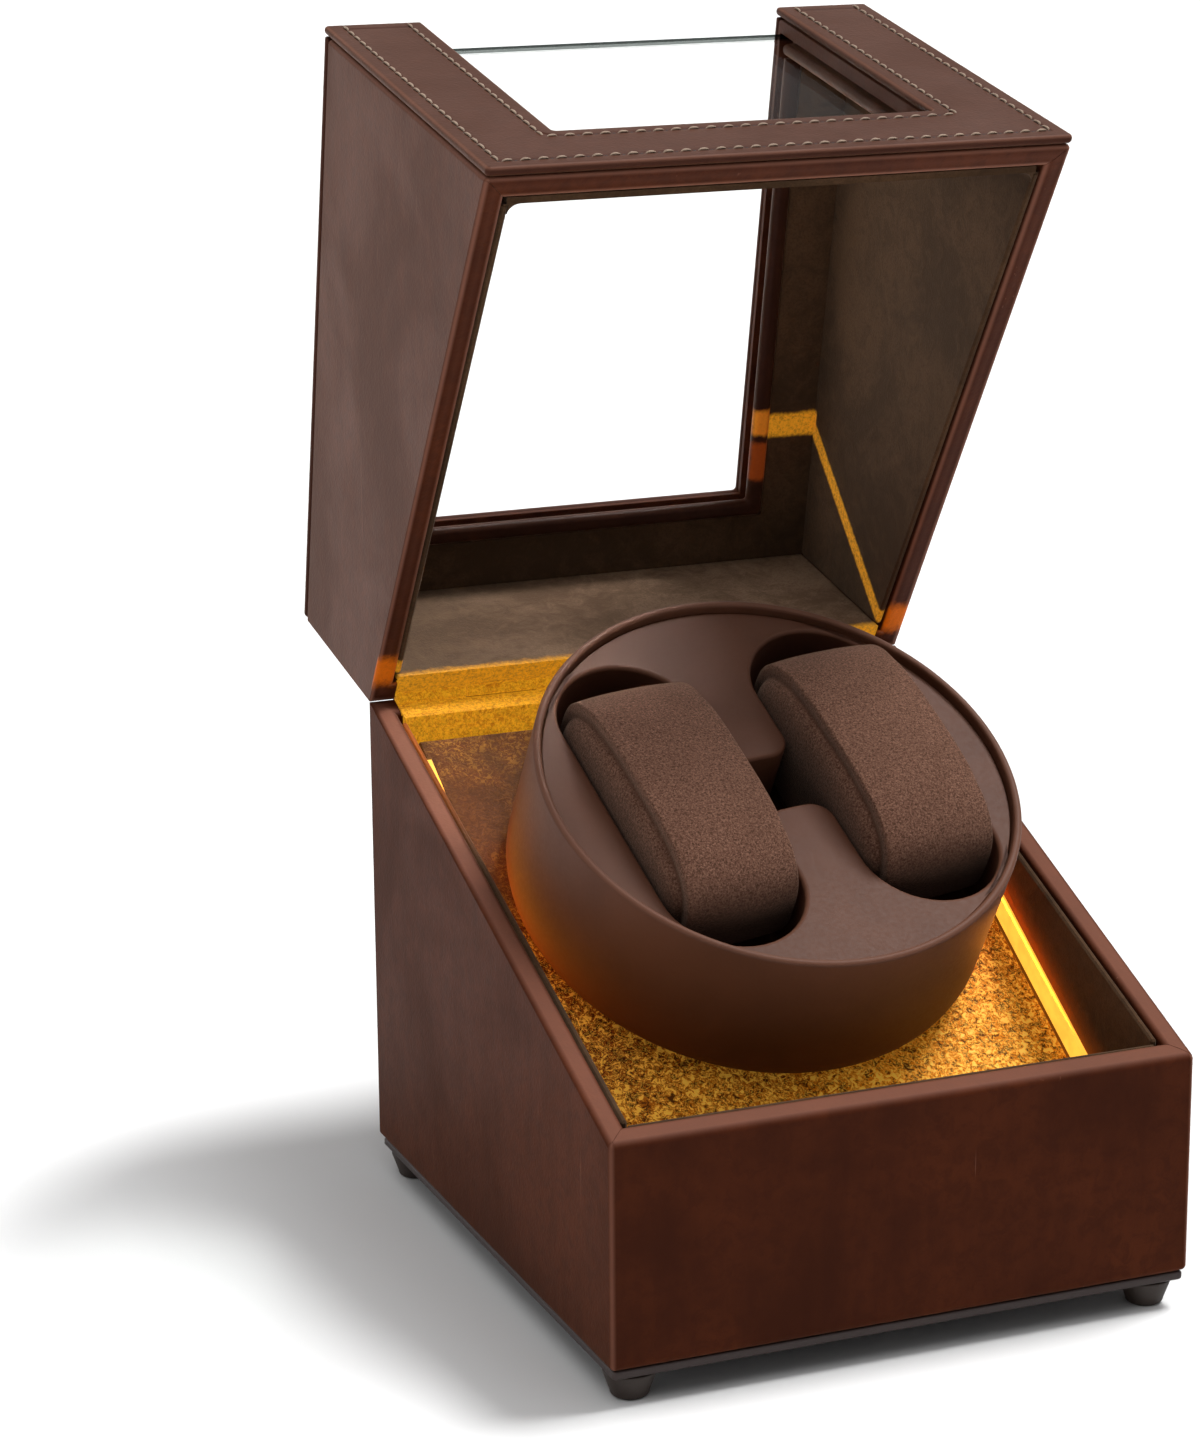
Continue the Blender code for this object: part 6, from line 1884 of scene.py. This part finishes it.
@dataclass
class Cushion:
    """A stuffed watch cushion: a crowned band, a sewn seam near each edge and a puffed side panel."""

    drum: Drum
    side: int
    half_width: float = 18.6 * MM
    length: float = 76.8 * MM
    proud: float = 12.0 * MM
    crown: float = 0.7 * MM
    power: float = 2.9
    around: int = 180
    clear: float = 0.4 * MM
    flat_band: float = 0.815
    crown_power: float = 2.4
    voxel: float = 2.4 * MM
    pressure: float = 4.0
    cloth_steps: int = 20
    nearest: int = 8
    swell: float = 0.9 * MM
    spare: float = 0.2 * MM

    @property
    def name(self) -> str:
        """The cushion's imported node."""
        return "pillow_left" if self.side < 0 else "pillow_right"

    @property
    def bottom(self) -> float:
        """Height of its underside in the drum's frame."""
        return self.clear - self.drum.pocket_floor

    def section(self) -> Array:
        """Half of the section across the cushion, from its middle to the middle of a side panel.

        Rows are the place across, how far inside the arch the row lies and how deep in a seam it is. The band
        is flat with a crown, rolls over at its edge, dips into the seam and swells again as the panel.
        """
        band = np.linspace(0, self.flat_band, 12)
        crown = self.crown * (band / self.flat_band) ** self.crown_power
        fold = [(0.836, 0.72, 0.0), (0.849, 1.05, 0.0), (0.854, 1.6, 0.05), (0.853, 2.5, 0.2)]
        groove = [(0.846, 3.4, 0.8), (0.846, 3.9, 1.0), (0.858, 4.4, 0.7)]
        bulge = np.linspace(0, math.pi / 2, 9)[1:]
        panel = np.stack([0.858 + 0.142 * np.sin(bulge), 4.4 + 5.0 * (1 - np.cos(bulge)), bulge * 0], -1)
        centre = np.array([(0.998, 11.5, 0.0), (0.990, 14.5, 0.0), (0.980, 17.0, 0.0)])
        rows = np.concatenate([np.stack([band, crown / MM, band * 0], -1), fold, groove, panel, centre])
        return rows * (self.half_width, MM, 1.0)

    def arch(self, angle: Array) -> tuple[Array, Array]:
        """A superellipse: |y|^p + |z|^p = 1, flatter below than above."""
        power = 2 / self.power
        y = np.sign(np.cos(angle)) * np.abs(np.cos(angle)) ** power
        z = np.sign(np.sin(angle)) * np.abs(np.sin(angle)) ** power
        return y, z

    def surface(self) -> tuple[Array, Array]:
        """The cushion as a grid: arches of the section's rows, side by side.

        Returns:
            The points in the drum's frame and how deep each row lies in a seam.
        """
        half = self.section()
        rows = np.concatenate([half[::-1] * (-1, 1, 1), half[1:]])
        angle = np.linspace(0, math.tau, self.around, endpoint=False)
        y, z = self.arch(angle)
        reach_z = (self.proud - self.bottom) / 2
        middle = (self.proud + self.bottom) / 2
        inset = rows[:, 1:2]
        across = self.side * self.drum.pocket_offset + rows[:, :1]
        along = y[None] * (self.length / 2 - inset)
        up = middle + z[None] * (reach_z - inset)
        return np.stack(np.broadcast_arrays(across, along, up), -1), rows[:, 2:3]

    def build(self) -> None:
        points, seam = self.surface()
        points = self.swollen(points)
        skin = Skin()
        # The seams' depth goes into the attribute as painted shade.
        skin.grid(points, worn=seam)
        piece = skin.make(f"{self.name}_cushion", self.drum.spin, THREAD_ANGLE)
        finer = piece.modifiers.new("finer", "SUBSURF")
        finer.levels = 1
        finer.render_levels = 1
        dress(piece, Look.CUSHION, self.name, self.name)

    def swollen(self, points: Array) -> Array:
        """Move the grid as a stuffed cloth moves.

        A coarser voxel copy is blown up as cloth. Each grid point then takes the mean move of the copy's
        nearest points, weighted by one over distance squared, and no point moves further than the swell.
        """
        skin = Skin()
        skin.grid(points)
        copy = skin.make("cushion_copy", np.eye(4), THREAD_ANGLE)
        remesh = copy.modifiers.new("voxels", "REMESH")
        remesh.mode = "VOXEL"
        remesh.voxel_size = self.voxel
        graph = bpy.context.evaluated_depsgraph_get()
        mesh = bpy.data.meshes.new_from_object(copy.evaluated_get(graph))
        copy.modifiers.clear()
        copy.data = mesh
        before = coordinates(mesh)
        cloth = copy.modifiers.new("cloth", "CLOTH")
        cloth.settings.use_pressure = True
        cloth.settings.uniform_pressure_force = self.pressure
        cloth.settings.effector_weights.gravity = 0
        scene = bpy.context.scene
        for step in range(1, self.cloth_steps + 1):
            scene.frame_set(step)
        graph = bpy.context.evaluated_depsgraph_get()
        blown = bpy.data.meshes.new_from_object(copy.evaluated_get(graph))
        move = coordinates(blown) - before
        scene.frame_set(1)
        bpy.data.objects.remove(copy, do_unlink=True)
        size = np.linalg.norm(move, axis=-1, keepdims=True)
        move *= np.minimum(1.0, self.swell / np.maximum(size, 1e-9))
        flat = points.reshape(-1, 3)
        apart = ((flat[:, None, :] - before[None]) ** 2).sum(-1)
        nearest = np.argpartition(apart, self.nearest, axis=1)[:, : self.nearest]
        weight = 1 / (np.take_along_axis(apart, nearest, 1) + 1e-7)
        shared = (move[nearest] * weight[..., None]).sum(1) / weight.sum(1, keepdims=True)
        LOG.info("%s: cloth moved it by %.2f mm at most", self.name, np.abs(shared).max() / MM)
        limit = self.half_width + self.spare
        out = (flat + shared).reshape(points.shape)
        middle = self.side * self.drum.pocket_offset
        out[..., 0] = np.clip(out[..., 0], middle - limit, middle + limit)
        return out


def coordinates(mesh: bpy.types.Mesh) -> Array:
    """A mesh's points as an array."""
    values = np.empty(len(mesh.vertices) * 3)
    mesh.vertices.foreach_get("co", values)
    return values.reshape(-1, 3)


# Deck, lights, drive and controls


@dataclass
class Works:
    """The lit deck, the drive below it and the controls at the back."""

    def build(self) -> None:
        """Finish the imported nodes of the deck, the drive and the controls."""
        looks = {
            Look.DECK: ("deck_panel",),
            Look.WOOD: ("deck_batten_left", "deck_batten_right"),
            Look.LIGHT: ("light_strip_left", "light_strip_right"),
            Look.STEEL: ("motor_bracket",),
            Look.BRONZE: ("bush_upper", "bush_lower"),
            Look.MOTOR: ("gear_motor",),
            Look.GEAR: ("motor_pinion",),
            Look.CABLE: ("motor_lead", "light_lead_left", "light_lead_right"),
            Look.BLACK: ("control_plate", "mode_encoder", "light_switch", "mode_knob", "light_button", "power_inlet"),
            Look.CIRCUIT: ("control_board",),
        }
        for look, nodes in looks.items():
            for node in nodes:
                carry(node, look)


# Stage


@dataclass
class Stage:
    """Pale floor, soft studio light and the camera at the photograph's angle."""

    azimuth: float = math.radians(-21.96)
    elevation: float = math.radians(15.14)
    roll: float = math.radians(-0.46)
    distance: float = 1.006
    aim: tuple[float, float, float] = (0.0, 0.080, 0.100)
    slide: tuple[float, float] = (-0.0461, 0.0357)
    focal_pixels: float = 3845.7
    image_height: float = 1449.0
    sensor: float = 36.0
    floor_size: float = 60.0
    floor_painted_light: float = 0.6
    floor_light_reach: tuple[float, float] = (0.09, 0.26)
    ambient: float = 0.20
    suns: tuple[tuple[str, Colour, float, float], ...] = (
        ("key", (0.50, 0.03, 1.0), 20.0, 3.5),
        ("overhead", (-0.05, -0.12, 1.0), 60.0, 1.05),
        ("left", (-1.0, 0.25, 0.45), 50.0, 0.38),
    )
    glow_colour: Colour = (1.0, 0.30, 0.03)
    glow_powers: tuple[float, float] = (0.020, 0.080)
    glow_share: float = 0.9
    glow_rise: float = 3.0 * MM
    glow_tilt: float = 0.15

    def build(self) -> None:
        """Set the stage."""
        self.build_camera()
        self.build_floor()
        self.build_world()
        self.build_lamps()
        bpy.context.scene.view_settings.view_transform = "Standard"

    def build_camera(self) -> None:
        """The camera, on a sphere round its aim, slid sideways and up in its own frame."""
        az, el = self.azimuth, self.elevation
        back = np.array([math.sin(az) * math.cos(el), -math.cos(az) * math.cos(el), math.sin(el)])
        right = np.array([math.cos(az), math.sin(az), 0.0])
        up = np.cross(back, right)
        across = right * math.cos(self.roll) + up * math.sin(self.roll)
        upward = -right * math.sin(self.roll) + up * math.cos(self.roll)
        place = np.array(self.aim) + back * self.distance + across * self.slide[0] + upward * self.slide[1]
        data = bpy.data.cameras.new("camera")
        data.sensor_width = self.sensor
        data.lens = self.focal_pixels / self.image_height * self.sensor
        data.clip_start = 0.01
        camera = linked("camera", data)
        camera.matrix_world = Matrix((PLACE.case @ axes(upward, back, place, across)).tolist())
        bpy.context.scene.camera = camera

    def build_floor(self) -> None:
        """A wide pale floor, which keeps the shadow near the winder. Painted light, which the camera, reflections and
        the glass see, raises it to white towards the left and washes out the shadow there.
        """
        half = self.floor_size / 2
        mesh = bpy.data.meshes.new("floor")
        corners = [(-half, -half, 0), (half, -half, 0), (half, half, 0), (-half, half, 0)]
        mesh.from_pydata(corners, [], [(0, 1, 2, 3)])
        floor = linked("floor", mesh)
        bench = Bench("pale_floor")
        # Painted light: an emission that rises along -X from nothing to its full strength, so that the far shadow
        # fades on the left.
        left = bench.plane(-RIGHT, np.zeros(3))
        seen = bench.times(bench.seen_white(), bench.ramp(left, *self.floor_light_reach, 0.0, self.floor_painted_light))
        painted_lift = bench.add("ShaderNodeEmission", {"Color": (1, 1, 1, 1), "Strength": seen})
        bench.finish(Base_Color=(0.80, 0.80, 0.80), Roughness=0.9, Specular_IOR_Level=0.1)
        bench.surface("AddShader", None, painted_lift.outputs[0])
        mesh.materials.append(bench.material)

    def build_world(self) -> None:
        """An even surround, white where the camera, a reflection or the glass sees it."""
        world = bpy.context.scene.world or bpy.data.worlds.new("surround")
        bpy.context.scene.world = world
        world.use_nodes = True
        tree = world.node_tree
        path = tree.nodes.new("ShaderNodeLightPath")
        level: Socket | None = None
        for ray in ("Is Camera Ray", "Is Glossy Ray", "Is Transmission Ray"):
            pick = tree.nodes.new("ShaderNodeMath")
            pick.operation = "MAXIMUM"
            tree.links.new(path.outputs[ray], pick.inputs[0])
            if level:
                tree.links.new(level, pick.inputs[1])
            else:
                pick.inputs[1].default_value = self.ambient
            level = pick.outputs[0]
        back = tree.nodes["Background"]
        back.inputs["Color"].default_value = (1, 1, 1, 1)
        tree.links.new(level, back.inputs["Strength"])

    def build_lamps(self) -> None:
        """A soft key from behind on the right, a wide light overhead and the amber light of the strips."""
        for name, towards, spread, power in self.suns:
            self.sun(name, towards, spread, power)
        for node, power in zip(("light_strip_left", "light_strip_right"), self.glow_powers):
            self.strip_lamp(node, power)

    def sun(self, name: str, towards: tuple[float, float, float], spread: float, power: float) -> None:
        """A lamp at no finite distance, so that it lights the floor evenly."""
        data = bpy.data.lights.new(name, "SUN")
        data.angle = math.radians(spread)
        data.energy = power
        lamp = linked(name, data)
        lamp.rotation_euler = Vector(towards).to_track_quat("Z", "Y").to_euler()

    def strip_lamp(self, node: str, power: float) -> None:
        """The light that a strip throws up and across the pit."""
        low, high = (np.array(corner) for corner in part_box(node))
        length = np.array([0.0, high[1] - low[1], high[2] - low[2]])
        data = bpy.data.lights.new(f"{node}_light", "AREA")
        data.shape = "RECTANGLE"
        data.size = float(np.linalg.norm(length)) * self.glow_share
        data.size_y = (high[0] - low[0]) * self.glow_share
        data.energy = power
        data.color = self.glow_colour
        lamp = linked(f"{node}_light", data)
        along = length / np.linalg.norm(length)
        rise = np.cross(RIGHT, along)
        inward = np.array([-math.copysign(1.0, low[0]), 0.0, 0.0])
        towards = inward + rise * self.glow_tilt
        towards /= np.linalg.norm(towards)
        place = (low + high) / 2 + rise * self.glow_rise
        lamp.matrix_world = Matrix(axes(np.cross(-towards, along), -towards, place, along).tolist())


def main() -> None:
    """Build each part of the winder, then the stage, and log each piece's faces."""
    logging.basicConfig(level=logging.INFO, format="%(message)s")
    Base().build()
    Lid().build()
    drum = Drum()
    drum.build()
    Cushion(drum, -1).build()
    Cushion(drum, 1).build()
    Works().build()
    Stage().build()


if __name__ == "__main__":
    main()
